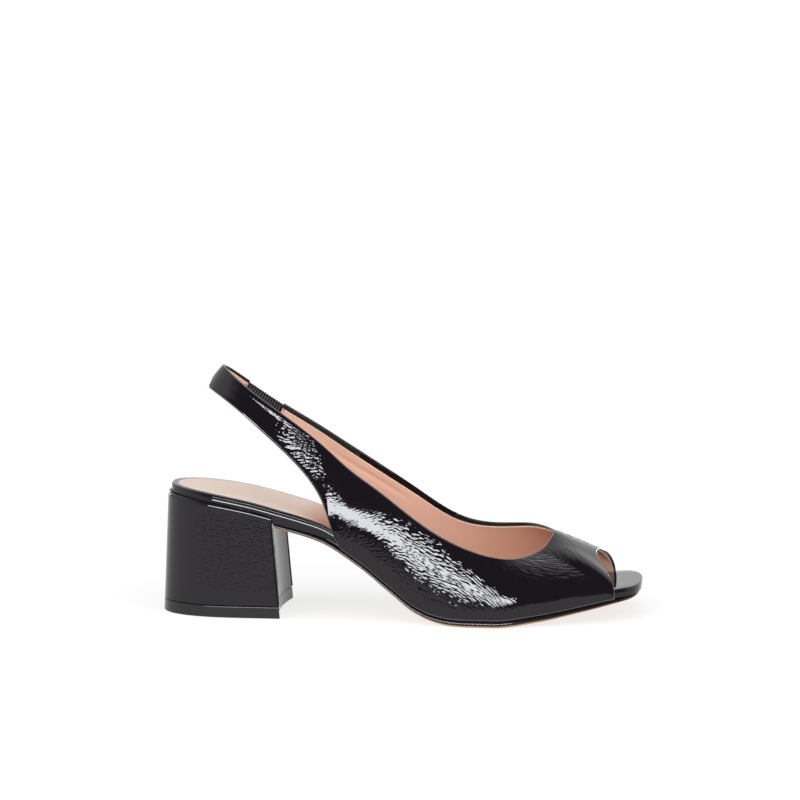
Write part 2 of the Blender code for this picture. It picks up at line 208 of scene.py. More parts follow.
# %% Studio floor, room and lights
FLOOR_SIZE = 24.0
FLOOR_WHITE = 0.24
FLOOR_GLOW = 0.757
FloorPart = namedtuple("FloorPart", "name near far mirrored")
FLOOR_PARTS = [
    FloorPart("studio_floor", -1.1, 0.6, True),
    FloorPart("studio_floor_front", -FLOOR_SIZE / 2, -1.1, False),
    FloorPart("studio_floor_back", 0.6, FLOOR_SIZE / 2, False),
]
ROOM_DARK = 0.10
ROOM_PALE = 1.05
DARK_SIDE = (0.198, -0.740, 0.643)
DARK_SPAN = (0.35, 0.80)
HORIZON_SPAN = (0.0, 0.01)
Sun = namedtuple("Sun", "name strength tilt spread")
SUNS = [
    Sun("rear_soft_light", 0.8, -30.0, 90.0),
    Sun("front_soft_light", 5.0, 62.0, 130.0),
]
SOFTBOX_COLOUR = (0.93, 0.97, 1.0)
Softbox = namedtuple("Softbox", "name distance elevation azimuth radiance")
FRONT_SOFTBOX = Softbox("low_softbox", -2.4, (5.2, 13.0), (-31.0, 22.0), 25.0)
BACK_SOFTBOXES = [
    Softbox("back_softbox_heel", 2.4, (0.8, 4.6), (-54.0, -26.0), 20.0),
    Softbox("back_softbox_toe", 2.4, (0.8, 4.6), (16.0, 56.0), 20.0),
]


def make_floor():
    """White glowing table; only the part round the shoe shows in the reflections."""
    white = new_material(
        "studio_white", Base_Color=(FLOOR_WHITE, FLOOR_WHITE, FLOOR_WHITE, 1.0), Roughness=0.9,
        Specular_IOR_Level=0.0, Emission_Color=(1.0, 1.0, 1.0, 1.0), Emission_Strength=FLOOR_GLOW,
    )[0]
    for part in FLOOR_PARTS:
        bpy.ops.object.select_all(action="DESELECT")
        bpy.ops.mesh.primitive_plane_add(size=1.0, location=(0.0, (part.near + part.far) / 2, 0.0))
        floor = bpy.context.active_object
        floor.name = part.name
        bpy.ops.transform.resize(value=(FLOOR_SIZE, part.far - part.near, 1.0))
        bpy.ops.object.transform_apply(location=True, scale=True)
        floor.data.materials.append(white)
        floor.visible_glossy = part.mirrored


def make_room():
    """World that is pale all round, dark below the floor and where the camera's side is unlit."""
    world = bpy.data.worlds.new("studio_room")
    bpy.context.scene.world = world
    world.use_nodes = True
    world.cycles_visibility.diffuse = False
    tree = world.node_tree
    background = tree.nodes["Background"]
    background.inputs["Color"].default_value = (1.0, 1.0, 1.0, 1.0)
    direction = tree.nodes.new("ShaderNodeTexCoord").outputs["Generated"]
    towards_dark = tree.nodes.new("ShaderNodeVectorMath")
    towards_dark.operation = "DOT_PRODUCT"
    towards_dark.inputs[1].default_value = DARK_SIDE
    tree.links.new(direction, towards_dark.inputs[0])
    shade = fade(tree, towards_dark.outputs["Value"], *DARK_SPAN, low=ROOM_PALE, high=ROOM_DARK)
    raised = fade(tree, axis(tree, direction, "Z"), *HORIZON_SPAN, shape="LINEAR")
    tree.links.new(product(tree, shade, raised), background.inputs["Strength"])


def add_sun(sun):
    """Wide soft light from above, tilted forwards or back, that stays out of the reflections."""
    bpy.ops.object.light_add(
        type="SUN", location=(0.0, 0.0, 2.0), rotation=(math.radians(sun.tilt), 0.0, 0.0),
    )
    lamp = bpy.context.active_object
    lamp.name = sun.name
    lamp.data.energy = sun.strength
    lamp.data.angle = math.radians(sun.spread)
    lamp.visible_glossy = False


def add_softbox(box):
    """Upright lamp that shows only in reflections, between angles seen from the shoe."""
    away = abs(box.distance)
    low, high = (away * math.tan(math.radians(angle)) for angle in box.elevation)
    left, right = (away * math.tan(math.radians(angle)) for angle in box.azimuth)
    bpy.ops.object.light_add(
        type="AREA", location=((left + right) / 2, box.distance, (low + high) / 2),
        rotation=(math.copysign(math.radians(90.0), -box.distance), 0.0, 0.0),
    )
    lamp = bpy.context.active_object
    lamp.name = box.name
    lamp.data.color = SOFTBOX_COLOUR
    lamp.data.shape = "RECTANGLE"
    lamp.data.size = right - left
    lamp.data.size_y = high - low
    lamp.data.energy = box.radiance * math.pi * (right - left) * (high - low)
    lamp.visible_camera = False
    lamp.visible_diffuse = False
    print(box.name, "is", round(lamp.data.size, 2), "by", round(lamp.data.size_y, 2), "m")
    return lamp


make_floor()
make_room()
for sun in SUNS:
    add_sun(sun)
add_softbox(FRONT_SOFTBOX)
back_lamps = [add_softbox(box) for box in BACK_SOFTBOXES]
bpy.context.scene.view_settings.view_transform = "Standard"

# %% [markdown]
# ## The last
# A shoe is built round a last, and all its pieces follow the same few curves: how high the sole runs,
# how wide it is on either side, and how the upper rises from it. The tables repeat those curves in
# millimetres, and two kinds of spline run through them: one that never overshoots, for the sole, and a
# fully smooth one for the upper.

# %% Tables of the last
SoleRow = namedtuple("SoleRow", "x under sole board lateral medial")
SOLE = [SoleRow(*row) for row in [
    (-124.0, 57.2, 2.0, 7.4, -27.8, 21.8),
    (-100.0, 54.2, 2.0, 7.5, -27.8, 21.8),
    (-80.0, 50.8, 2.0, 7.5, -27.9, 21.9),
    (-62.0, 46.5, 2.0, 7.3, -28.4, 22.2),
    (-40.0, 40.4, 2.0, 6.5, -29.7, 22.6),
    (-18.6, 27.3, 2.0, 5.8, -30.9, 22.9),
    (-2.7, 14.8, 2.1, 5.2, -33.0, 24.8),
    (10.0, 5.7, 2.4, 4.8, -36.4, 28.2),
    (20.0, 1.75, 2.7, 4.4, -38.9, 32.0),
    (28.0, 0.35, 2.9, 4.3, -40.6, 35.2),
    (37.0, 0.0, 3.0, 4.3, -41.6, 38.2),
    (50.0, 0.0, 3.0, 4.3, -41.8, 41.0),
    (72.0, 2.3, 2.8, 4.5, -36.8, 41.9),
    (94.0, 6.3, 2.2, 4.7, -28.6, 40.2),
    (111.0, 9.6, 1.9, 4.7, -22.2, 37.4),
    (124.0, 11.7, 1.7, 3.9, -20.6, 36.2),
]]
InsetRow = namedtuple("InsetRow", "x inset")
BOARD_INSET = [InsetRow(*row) for row in [
    (-124.0, 0.0),
    (-66.0, 0.2),
    (-48.0, 1.0),
    (-36.0, 3.2),
    (70.0, 3.2),
    (96.0, 4.6),
    (124.0, 3.8),
]]
OUTSOLE_INSET = [InsetRow(*row) for row in [
    (-124.0, 0.0),
    (102.0, 0.0),
    (114.0, 2.4),
    (124.0, 2.8),
]]
UpperRow = namedtuple("UpperRow", "name low_x low_y low_z top_x top_y top_z foot brow")
UPPER = [UpperRow(*row) for row in [
    ("ridge", 100.3, 8.0, 32.0, 77.6, 4.5, 42.0, 0.0, 0.0),
    ("lateral shoulder", 105.4, -12.0, 25.6, 76.2, -3.4, 39.2, 3.2, 1.6),
    ("lateral toe edge", 110.2, -20.2, 18.8, 74.0, -8.8, 36.6, 7.6, 4.0),
    ("lateral toe corner", 111.0, None, None, 71.8, -12.0, 35.2, 9.6, 4.8),
    ("lateral toe", 97.0, None, None, 67.0, -18.0, 33.7, 10.6, 5.2),
    ("little toe", 79.0, None, None, 60.9, -25.0, 33.2, 7.6, 4.6),
    ("lateral ball", 52.0, None, None, 47.2, -32.5, 35.5, 3.2, 3.0),
    ("behind the ball", 24.0, None, None, 23.9, -32.2, 44.4, 1.7, 2.2),
    ("lateral waist", 2.0, None, None, 3.6, -27.5, 57.0, 2.0, 1.9),
    ("lateral quarter", -16.0, None, None, -11.6, -24.5, 68.1, 1.9, 1.9),
    ("lateral quarter corner", -28.5, None, None, -23.2, -23.0, 76.1, 2.0, 1.6),
    ("lateral quarter back", -37.4, -28.8, 59.0, -35.7, -22.1, 86.9, 0.1, 0.4),
    ("lateral strap root", -49.0, -27.6, 77.0, -47.6, -23.0, 97.0, 0.05, 0.65),
    ("lateral strap", -66.0, -28.1, 93.9, -61.5, -23.9, 107.3, -0.1, 0.2),
    ("lateral strap bend", -86.8, -22.8, 110.4, -78.9, -20.4, 119.5, 0.2, 0.6),
    ("strap back", -100.5, -3.0, 115.8, -92.1, -3.0, 127.6, 0.8, 0.8),
    ("elastic rear", -88.6, 15.6, 105.5, -80.7, 13.6, 116.8, 0.8, 0.8),
    ("elastic front", -69.9, 21.0, 91.1, -63.3, 17.8, 104.5, 1.0, 1.0),
    ("medial strap root", -50.0, 22.8, 75.6, -46.4, 18.4, 94.4, 1.3, 1.3),
    ("medial quarter back", -37.4, 23.2, 59.0, -32.2, 18.4, 85.5, 1.6, 1.6),
    ("medial quarter corner", -28.5, None, None, -21.2, 19.2, 78.3, 1.6, 1.6),
    ("medial quarter", -14.0, None, None, -7.2, 20.8, 69.0, 1.6, 1.6),
    ("medial waist", 4.0, None, None, 6.6, 23.4, 59.3, 2.0, 2.0),
    ("medial instep", 26.0, None, None, 24.4, 27.0, 47.3, 3.0, 2.8),
    ("medial ball", 58.0, None, None, 44.2, 28.6, 42.0, 4.6, 4.2),
    ("big toe", 82.0, None, None, 58.1, 25.4, 42.6, 5.8, 5.0),
    ("medial toe", 98.0, None, None, 65.5, 21.2, 43.2, 6.6, 4.8),
    ("medial toe corner", 108.8, None, None, 70.2, 16.8, 43.2, 6.4, 3.4),
    ("medial toe edge", 108.2, 35.0, 19.0, 73.0, 13.6, 43.0, 4.6, 2.0),
    ("medial shoulder", 104.8, 25.6, 27.6, 75.7, 9.6, 42.7, 0.8, 0.4),
]]
FRONT_CORNERS = ("lateral toe corner", "medial toe corner")
QUARTER_CORNERS = ("lateral quarter corner", "medial quarter corner")
ELASTIC_ENDS = ("elastic rear", "elastic front")
print("sections of the upper:", len(UPPER))

# %% Curves through the tables
SPLINE_OVERLAP = 4


def monotone_curve(xs, ys):
    """Smooth curve through rows of a table that never overshoots them."""
    xs = np.asarray(xs, float)
    ys = np.asarray(ys, float)
    step = np.diff(xs)
    rise = np.diff(ys) / step
    before = rise[:-1]
    after = rise[1:]
    turning = before * after <= 0.0
    weight_a = 2 * step[1:] + step[:-1]
    weight_b = step[1:] + 2 * step[:-1]
    safe_before = np.where(turning, 1.0, before)
    safe_after = np.where(turning, 1.0, after)
    mean = (weight_a + weight_b) / (weight_a / safe_before + weight_b / safe_after)
    slope = np.concatenate(([rise[0]], np.where(turning, 0.0, mean), [rise[-1]]))

    def at(x):
        x = np.clip(x, xs[0], xs[-1])
        i = np.clip(np.searchsorted(xs, x) - 1, 0, len(step) - 1)
        t = (x - xs[i]) / step[i]
        held = (1 + 2 * t) * (1 - t) ** 2 * ys[i] + t * t * (3 - 2 * t) * ys[i + 1]
        bent = t * (1 - t) ** 2 * slope[i] + t * t * (t - 1) * slope[i + 1]
        return held + bent * step[i]

    return at


def smooth_curve(knots, points):
    """Natural cubic spline through points."""
    knots = np.asarray(knots, float)
    points = np.asarray(points, float)
    step = np.diff(knots)
    system = np.eye(len(knots))
    target = np.zeros_like(points)
    for i in range(1, len(knots) - 1):
        system[i, i - 1:i + 2] = step[i - 1], 2 * (step[i - 1] + step[i]), step[i]
        rise_before = (points[i] - points[i - 1]) / step[i - 1]
        rise_after = (points[i + 1] - points[i]) / step[i]
        target[i] = 6 * (rise_after - rise_before)
    bend = np.linalg.solve(system, target)

    def at(r):
        i = np.clip(np.searchsorted(knots, r) - 1, 0, len(step) - 1)
        a = ((knots[i + 1] - r) / step[i])[:, None]
        b = ((r - knots[i]) / step[i])[:, None]
        sag = (a ** 3 - a) * bend[i] + (b ** 3 - b) * bend[i + 1]
        return a * points[i] + b * points[i + 1] + sag * (step[i] ** 2)[:, None] / 6

    return at


def table_column(table, name):
    return monotone_curve([row.x for row in table], [getattr(row, name) for row in table])


# %% [markdown]
# ## Heights and outline of the sole
# The outsole, the board above it and the sock on the board share one plan. Each height is a function
# of x, and `outline` gives the two edges of the plan, moved in by as much as a piece stands back.

# %% Sole heights and plan
FIT_GAP = 0.3
SOCK_MARGIN = 3.2
FEATHER_INSET = 0.9
BOARD_BACK = -119.2
TOE_TIP = 123.5
SEAT_ROUND = 42.0
SEAT_POWER = 2.3
TOE_ROUND = 15.5
TOE_POWER = 2.8
SOCK_FRONT = 98.0
OUTSOLE_BACK = -66.0
OUTSOLE_TOE_SETBACK = 1.0
HEEL_BREAST_HOLLOW = 3.0

under, sole_thickness, board_thickness, lateral_edge, medial_edge = (
    table_column(SOLE, name) for name in SoleRow._fields[1:]
)
board_inset = table_column(BOARD_INSET, "inset")
outsole_inset = table_column(OUTSOLE_INSET, "inset")


def sole_top(x):
    return under(x) + sole_thickness(x)


def board_under(x):
    return sole_top(x) + FIT_GAP


def board_top(x):
    return board_under(x) + board_thickness(x)


def sock_inset(x):
    return board_inset(x) + SOCK_MARGIN


def rounded_end(distance, length, power):
    """Share of the half-width left at a distance from a rounded end."""
    gone = np.clip(1 - distance / length, 0.0, 1.0)
    return (1 - gone ** power) ** (1 / power)


def seat_end(distance):
    return rounded_end(distance, SEAT_ROUND, SEAT_POWER)


def breast_end(distance):
    """End that fills the hollow of the heel's breast."""
    return np.sqrt(np.clip(distance / HEEL_BREAST_HOLLOW, 0.0, 1.0))


def outline(x, inset, back, tip, back_end):
    """Lateral and medial edge of the plan at x, moved in by inset, with its shaped ends."""
    middle = (lateral_edge(x) + medial_edge(x)) / 2
    half = (medial_edge(x) - lateral_edge(x)) / 2 - inset
    half = half * rounded_end(tip - x, TOE_ROUND, TOE_POWER) * back_end(x - back)
    return middle - half, middle + half


print("seat height:", round(float(board_top(BOARD_BACK)), 1), "mm")

# %% [markdown]
# ## Form of the upper
# The upper is one band of leather that runs round the foot. Its surface has two directions: r goes
# round the ring, and v climbs from the lower edge to the topline. Each section is a curve with two
# handles, and the swell of the handles gives the section its belly.

# %% Surface of the upper
TANGENT_REACH = 9.0
HEIGHT_STEPS = 17


def unit(vectors):
    return vectors / np.linalg.norm(vectors, axis=-1)[..., None]


def low_point(row):
    """Lower edge of a section: stated, or on the sole's edge."""
    if row.low_y is not None:
        return row.low_x, row.low_y, row.low_z
    edge = medial_edge if row.top_y > 0 else lateral_edge
    inward = -FEATHER_INSET if row.top_y > 0 else FEATHER_INSET
    return row.low_x, edge(row.low_x) + inward, board_under(row.low_x)


class UpperForm:
    """The upper's outer surface: r runs round the ring, v from the lower edge to the topline."""

    def __init__(self):
        names = [row.name for row in UPPER]
        count = len(names)
        low = np.array([low_point(row) for row in UPPER], float)
        top = np.array([(row.top_x, row.top_y, row.top_z) for row in UPPER], float)
        swells = np.array([(row.foot, row.brow) for row in UPPER], float)
        low_reach = np.linalg.norm(np.roll(low, -1, axis=0) - low, axis=1)
        top_reach = np.linalg.norm(np.roll(top, -1, axis=0) - top, axis=1)
        knots = np.concatenate([[0.0], np.cumsum((low_reach + top_reach) / 2)])
        self.length = knots[-1]
        self.at_row = dict(zip(names, knots))

        def spline(rows, points):
            turned = knots[rows % count] + self.length * (rows // count)
            return smooth_curve(turned, points[rows % count])

        lateral_corner, medial_corner = (names.index(name) for name in FRONT_CORNERS)
        ring = np.arange(-SPLINE_OVERLAP, count + SPLINE_OVERLAP + 1)
        self.top_ring = spline(ring, top)
        self.swell_ring = spline(ring, swells)
        self.low_long = spline(np.arange(lateral_corner, medial_corner + 1), low)
        self.low_front = spline(np.arange(medial_corner, lateral_corner + count + 1), low)
        self.corners = knots[lateral_corner], knots[medial_corner]
        lateral_end, medial_start = (self.at_row[name] for name in QUARTER_CORNERS)
        self.sole_runs = [
            (self.corners[0], lateral_end, lateral_edge, FEATHER_INSET),
            (medial_start, self.corners[1], medial_edge, -FEATHER_INSET),
        ]

    def low_edge(self, r):
        """Lower edge of the ring; between the named rows it follows the sole's edge."""
        r = r % self.length
        on_sides = (r >= self.corners[0]) & (r <= self.corners[1])
        ahead = np.where(r < self.corners[0], r + self.length, r)
        edge = np.where(on_sides[:, None], self.low_long(r), self.low_front(ahead))
        for start, end, side, inward in self.sole_runs:
            on_sole = (r >= start) & (r <= end)
            x = edge[:, 0]
            edge[:, 1] = np.where(on_sole, side(x) + inward, edge[:, 1])
            edge[:, 2] = np.where(on_sole, board_under(x), edge[:, 2])
        return edge

    def off_sole(self, r):
        """How far, along the ring, a section's foot is from the nearest stretch on the sole."""
        r = r % self.length
        away = np.full_like(r, self.length)
        for start, end in (run[:2] for run in self.sole_runs):
            beside = np.maximum(np.maximum(start - r, r - end), 0.0)
            around = np.maximum(start + self.length - r, 0.0)
            away = np.minimum(away, np.minimum(beside, np.where(r > end, around, beside)))
        return away

    def surface(self, r, v):
        """Points of the sections at r; v has a row for each section."""
        low = self.low_edge(r)
        top = self.top_ring(r % self.length)
        before = r - TANGENT_REACH
        after = r + TANGENT_REACH
        ahead = self.low_edge(after) + self.top_ring(after % self.length)
        behind = self.low_edge(before) + self.top_ring(before % self.length)
        outward = unit(np.cross(top - low, ahead - behind))
        swells = self.swell_ring(r % self.length)
        a = low + (top - low) / 3 + outward * swells[:, :1]
        b = low + (top - low) * 2 / 3 + outward * swells[:, 1:]
        v = v[:, :, None]
        low, a, b, top = (edge[:, None, :] for edge in (low, a, b, top))
        lower_half = low * (1 - v) ** 3 + a * 3 * v * (1 - v) ** 2
        return lower_half + b * 3 * v * v * (1 - v) + top * v ** 3

    def heights(self, r):
        """Length of each section from its lower edge to the topline."""
        v = np.tile(np.linspace(0.0, 1.0, HEIGHT_STEPS), (len(r), 1))
        points = self.surface(r, v)
        return np.linalg.norm(np.diff(points, axis=1), axis=2).sum(axis=1)

    def sections(self, r, rows, low_margin, top_margin, crowding=0.0):
        """Points, outward normals, upward directions and heights between margins in millimetres."""
        heights = self.heights(r)
        start = low_margin / heights
        end = 1 - top_margin / heights
        share = np.linspace(0.0, 1.0, rows)
        share = share - crowding * np.sin(2 * np.pi * share) / (2 * np.pi)
        v = start[:, None] + (end - start)[:, None] * share
        points = self.surface(r, v)
        along, up = np.gradient(points, axis=(0, 1))
        return points, unit(np.cross(up, along)), unit(up), v * heights[:, None]


form = UpperForm()
rear_end, front_end = (form.at_row[name] for name in ELASTIC_ENDS)
print("ring of the upper:", round(form.length), "mm round")


def ring_column(r, table, name):
    """One column of a table whose rows name places on the ring, read round the ring."""
    knots = [form.at_row[row.row] for row in table] + [form.length]
    values = [getattr(row, name) for row in table]
    return np.interp(r % form.length, knots, values + values[:1])


# %% [markdown]
# ## A grid laid on a form
# Most of the shoe is sheet: leather, lining, board, sole. A sheet piece starts as a grid primitive with
# as many cells as its section needs. The vertices are then laid on the form, and the UV map gets the
# flat distances in metres, so a grain keeps its scale however the sheet bends. Merging the doubles
# closes the seam where the section comes back to its start.

# %% Grid helpers
SMOOTH_ANGLE = math.radians(38.0)
DOUBLES = 0.002


def lay_flat(mesh, layer, flat):
    """Flat distances of the vertices, in millimetres, into a UV map."""
    corner_vertex = np.empty(len(mesh.loops), np.int32)
    mesh.loops.foreach_get("vertex_index", corner_vertex)
    layer.data.foreach_set("uv", (flat.reshape(-1, 2)[corner_vertex] * MM).ravel())


def fitted_grid(name, points, flat):
    """Grid primitive with its vertices laid on rows and columns of points in millimetres."""
    rows, columns = points.shape[:2]
    bpy.ops.object.select_all(action="DESELECT")
    bpy.ops.mesh.primitive_grid_add(x_subdivisions=columns - 1, y_subdivisions=rows - 1, size=1.0)
    piece = bpy.context.active_object
    piece.name = name
    mesh = piece.data
    mesh.name = name
    mesh.vertices.foreach_set("co", (points * MM).ravel())
    lay_flat(mesh, mesh.uv_layers.active, flat)
    return piece


def add_attribute(piece, name, values):
    """Number on every vertex that a material can read by name."""
    column = piece.data.attributes.new(name, "FLOAT", "POINT")
    column.data.foreach_set("value", np.asarray(values, np.float32).ravel())


def close_piece(piece, fill_ends=False):
    """Merge the seam, fill open ends and turn the faces outwards."""
    bpy.context.view_layer.objects.active = piece
    bpy.ops.object.mode_set(mode="EDIT")
    bpy.ops.mesh.select_all(action="SELECT")
    bpy.ops.mesh.remove_doubles(threshold=DOUBLES * MM)
    if fill_ends:
        bpy.ops.mesh.fill_holes(sides=0)
    bpy.ops.mesh.select_all(action="SELECT")
    bpy.ops.mesh.normals_make_consistent(inside=False)
    bpy.ops.object.mode_set(mode="OBJECT")
    bpy.ops.object.shade_smooth_by_angle(angle=SMOOTH_ANGLE)


def finish_piece(piece, material, slot, *nodes):
    """Give a piece its finish, its place in the frame and the nodes it stands for."""
    piece.data.materials.clear()
    piece.data.materials.append(material)
    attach(piece, "root")
    if nodes:
        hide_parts(*nodes)
    piece.data.calc_loop_triangles()
    print(piece.name, "has", len(piece.data.loop_triangles), "triangles")


def join_parts(parts, name):
    """One piece at the origin from a few primitives."""
    bpy.ops.object.select_all(action="DESELECT")
    for part in parts:
        part.select_set(True)
    bpy.context.view_layer.objects.active = parts[0]
    bpy.ops.object.transform_apply(location=True, rotation=True, scale=True)
    bpy.ops.object.join()
    piece = bpy.context.active_object
    piece.name = name
    piece.data.name = name
    bpy.ops.object.origin_set(type="ORIGIN_CURSOR")
    return piece


def flat_distances(points):
    """Distance travelled along each row of points."""
    steps = np.linalg.norm(np.diff(points, axis=1), axis=2)
    return np.concatenate([np.zeros((len(points), 1)), np.cumsum(steps, axis=1)], axis=1)


def ring_flat(r, loop):
    """Flat distances of a closed section: along the ring and round the section."""
    across = flat_distances(loop)
    return np.stack([np.broadcast_to(r[:, None], across.shape), across], -1)


# %% [markdown]
# ## Patent leather
# Patent leather is a black skin under a thick clear coat. The crinkle is pressed into the coat, so it
# is a bump that both the skin and the coat follow, and nearly all that is seen is the coat's mirror. On
# the upper the crinkle is made of rounded cells, stretched to wrinkles, because the leather was pulled
# over a last. On the heel it is level wavy lines that come and go. The board is covered tight and smooth.

# %% Black patent
PATENT_BLACK = (0.0055, 0.0036, 0.0062, 1.0)
PATENT_EDGE_HIGHLIGHT = (0.085, 0.080, 0.085, 1.0)
CRINKLE_DEPTH = 0.00013
WRINKLE_SPACING = 0.0017
WRINKLE_WANDER = 2.5 * WRINKLE_SPACING
WANDER_SPAN = 5 * WRINKLE_SPACING
PEBBLE_SMOOTHNESS = 0.3
LEANING_STRETCH = (2.3, 0.75)
UPRIGHT_STRETCH = (1.0, 2.6)
BROAD_STRETCH = (3.4, 1.35)
HEEL_CRINKLE_DEPTH = 0.000054
HEEL_WAVE = 0.0019
HEEL_WANDER = 0.006
HEEL_BREAK = 1.3 * HEEL_WAVE
BREAK_SPAN = (0.36, 0.56)
BACK_SMOOTH = (-0.116, -0.099)
FLOOR_SMOOTH = (0.007, 0.016)
LIP_SMOOTH = (0.0525, 0.0500)
WAVES_PER_UNIT = 20 / (2 * math.pi)
BOARD_GRAIN = Grain(160.0, 2.0, 0.00002)


def patent_shader(name):
    """Black skin under a clear mirror coat; the normal is left to the caller."""
    return new_material(
        name, Base_Color=PATENT_BLACK, Roughness=0.5, Specular_IOR_Level=0.0, Coat_Weight=1.0,
        Coat_Roughness=0.035, Coat_IOR=1.42,
    )


def pebbles(tree, uv_map, stretch):
    """Height of rounded pebbles, stretched to wrinkles, on a UV map with a slow drift."""
    flat = flat_place(tree, uv_map)
    shift = tree.nodes.new("ShaderNodeVectorMath")
    shift.operation = "MULTIPLY_ADD"
    shift.inputs[1].default_value = (WRINKLE_WANDER, WRINKLE_WANDER, 0.0)
    tree.links.new(noise(tree, flat, 1 / WANDER_SPAN, 2.0).outputs["Color"], shift.inputs[0])
    tree.links.new(flat, shift.inputs[2])
    along, across = (1 / (side * WRINKLE_SPACING) for side in stretch)
    sized = add_node(tree, "ShaderNodeMapping", Scale=(along, across, 1.0))
    tree.links.new(shift.outputs["Vector"], sized.inputs["Vector"])
    cells = tree.nodes.new("ShaderNodeTexVoronoi")
    cells.voronoi_dimensions = "2D"
    cells.feature = "SMOOTH_F1"
    set_sockets(cells, Scale=1.0, Smoothness=PEBBLE_SMOOTHNESS)
    tree.links.new(sized.outputs["Vector"], cells.inputs["Vector"])
    return math_node(tree, "MULTIPLY", cells.outputs["Distance"], -1.0)


def upper_crinkle():
    """Patent whose wrinkles lean along the sides, run across the strap and are broad on the vamp; its
    folded edges get a painted highlight, a paler black.
    """
    material, tree, shader = patent_shader("upper_crinkle_patent")
    leaning = pebbles(tree, "strand", LEANING_STRETCH)
    upright = pebbles(tree, "UVMap", UPRIGHT_STRETCH)
    broad = pebbles(tree, "strand", BROAD_STRETCH)
    wrinkles = blend(tree, number_attribute(tree, "upright"), leaning, upright)
    wrinkles = blend(tree, number_attribute(tree, "broad"), wrinkles, broad)
    height = math_node(tree, "MULTIPLY", wrinkles, number_attribute(tree, "crinkle"))
    press_in(tree, shader, height, CRINKLE_DEPTH, coated=True)
    # Painted highlight: the folded edges are painted a paler black, a thin light line along each fold.
    skin = blend(tree, number_attribute(tree, "edge"), PATENT_BLACK, PATENT_EDGE_HIGHLIGHT, "RGBA")
    tree.links.new(skin, shader.inputs["Base Color"])
    return material


def wavy_lines(tree):
    """Height of level wavy lines that come and go."""
    flat = flat_place(tree)
    waves = add_node(
        tree, "ShaderNodeTexWave", Scale=1 / (WAVES_PER_UNIT * HEEL_WAVE), Distortion=3.4, Detail=2.0,
        Detail_Scale=WAVES_PER_UNIT * HEEL_WAVE / HEEL_WANDER, Detail_Roughness=0.55,
    )
    waves.bands_direction = "Y"
    tree.links.new(flat, waves.inputs["Vector"])
    swing = math_node(tree, "SUBTRACT", waves.outputs["Fac"], 0.5)
    breaks = noise(tree, flat, 1 / HEEL_BREAK, 1.0).outputs["Fac"]
    return product(tree, swing, fade(tree, breaks, *BREAK_SPAN))


def heel_crinkle():
    """Patent of the heel: level wavy wrinkles that fade towards the back, the bottom and the lip."""
    material, tree, shader = patent_shader("heel_crinkle_patent")
    place = object_place(tree)
    height = product(
        tree, wavy_lines(tree),
        fade(tree, axis(tree, place, "X"), *BACK_SMOOTH),
        fade(tree, axis(tree, place, "Z"), *FLOOR_SMOOTH),
        fade(tree, axis(tree, flat_place(tree), "Y"), *LIP_SMOOTH),
    )
    press_in(tree, shader, height, HEEL_CRINKLE_DEPTH, coated=True)
    return material


def smooth_patent(name):
    """Patent pulled tight over a board, with only a faint waviness."""
    material, tree, shader = patent_shader(name)
    press_grain(tree, shader, object_place(tree), BOARD_GRAIN, coated=True)
    return material


upper_patent = upper_crinkle()
heel_patent = heel_crinkle()
board_patent = smooth_patent("board_smooth_patent")
print("patent finishes:", upper_patent.name, heel_patent.name, board_patent.name)

# %% [markdown]
# ## Upper leather
# The real upper is one cut of leather whose edges are skived thin and folded in. The section is drawn as
# a closed loop: up the outside, over a round folded edge, down the inside and round the lower fold.
# The CAD wall holds leather and lining together, so the leather takes the outer part of it. Where an
# edge is folded or a seam runs, the leather is a little thicker, and a soft ridge catches the light.
# On the folds themselves the black is painted a little paler, a painted highlight.

# %% Folded section of the sheet
LEATHER = 1.1
UPPER_STATIONS = 520
UPPER_ROWS = 58
EDGE_CROWDING = 0.6
INNER_ROWS = 12
FOLD_STEPS = 7


def fold(points, outward, climb, thickness):
    """Half round from the outer to the inner face at an edge of the sheet."""
    turn = np.linspace(0.0, np.pi, FOLD_STEPS)[None, 1:-1, None]
    half = thickness / 2
    centre = points - outward * half
    return centre[:, None] + half * (np.cos(turn) * outward[:, None] + np.sin(turn) * climb[:, None])


Ridge = namedtuple("Ridge", "first last ease from_top start end width height")
RIDGES = [
    Ridge("lateral strap root", "lateral strap bend", 5.0, True, 2.2, 2.2, 0.90, 0.22),
    Ridge("lateral quarter corner", "strap back", 12.0, False, 1.0, 1.0, 0.42, 0.11),
    Ridge("lateral waist", "lateral quarter back", 12.0, True, 18.5, 26.5, 6.5, 0.14),
]
SEAM_AFTER = ("medial instep", 1.0)
SEAM_WIDTH = 0.9
SEAM_HEIGHT = 0.3


def soft_ridges(r, height):
    """Soft ridges along folded edges, over the quarter, and at the seam of the inner side."""
    length = form.heights(r)[:, None]
    rise = np.zeros_like(height)
    ring = r % form.length
    for ridge in RIDGES:
        first = form.at_row[ridge.first]
        last = form.at_row[ridge.last]
        share = np.clip(np.minimum(ring - first, last - ring) / ridge.ease, 0.0, 1.0)[:, None]
        crest = np.interp(ring, (first, last), (ridge.start, ridge.end))[:, None]
        distance = length - height if ridge.from_top else height
        rise += share * ridge.height * np.exp(-((distance - crest) / ridge.width) ** 2)
    row, offset = SEAM_AFTER
    seam = np.exp(-((ring - form.at_row[row] - offset) / SEAM_WIDTH) ** 2)
    return rise + SEAM_HEIGHT * seam[:, None]


def folded_section(r, rows, thickness):
    """Closed loop of the sheet's section at each place on the ring."""
    half = np.full_like(r, thickness / 2)
    outer, outward, up, height = form.sections(r, rows, half, half, EDGE_CROWDING)
    inner = (outer - outward * thickness)[:, ::-1]
    outer = outer + outward * soft_ridges(r, height)[:, :, None]
    keep = np.linspace(0, rows - 1, INNER_ROWS).round().astype(int)
    top_fold = fold(outer[:, -1], outward[:, -1], up[:, -1], thickness)
    low_fold = fold(outer[:, 0], outward[:, 0], -up[:, 0], thickness)[:, ::-1]
    return np.concatenate([outer, top_fold, inner[:, keep], low_fold, outer[:, :1]], axis=1)


print("soft ridges:", len(RIDGES), "along the edges and one at the seam")

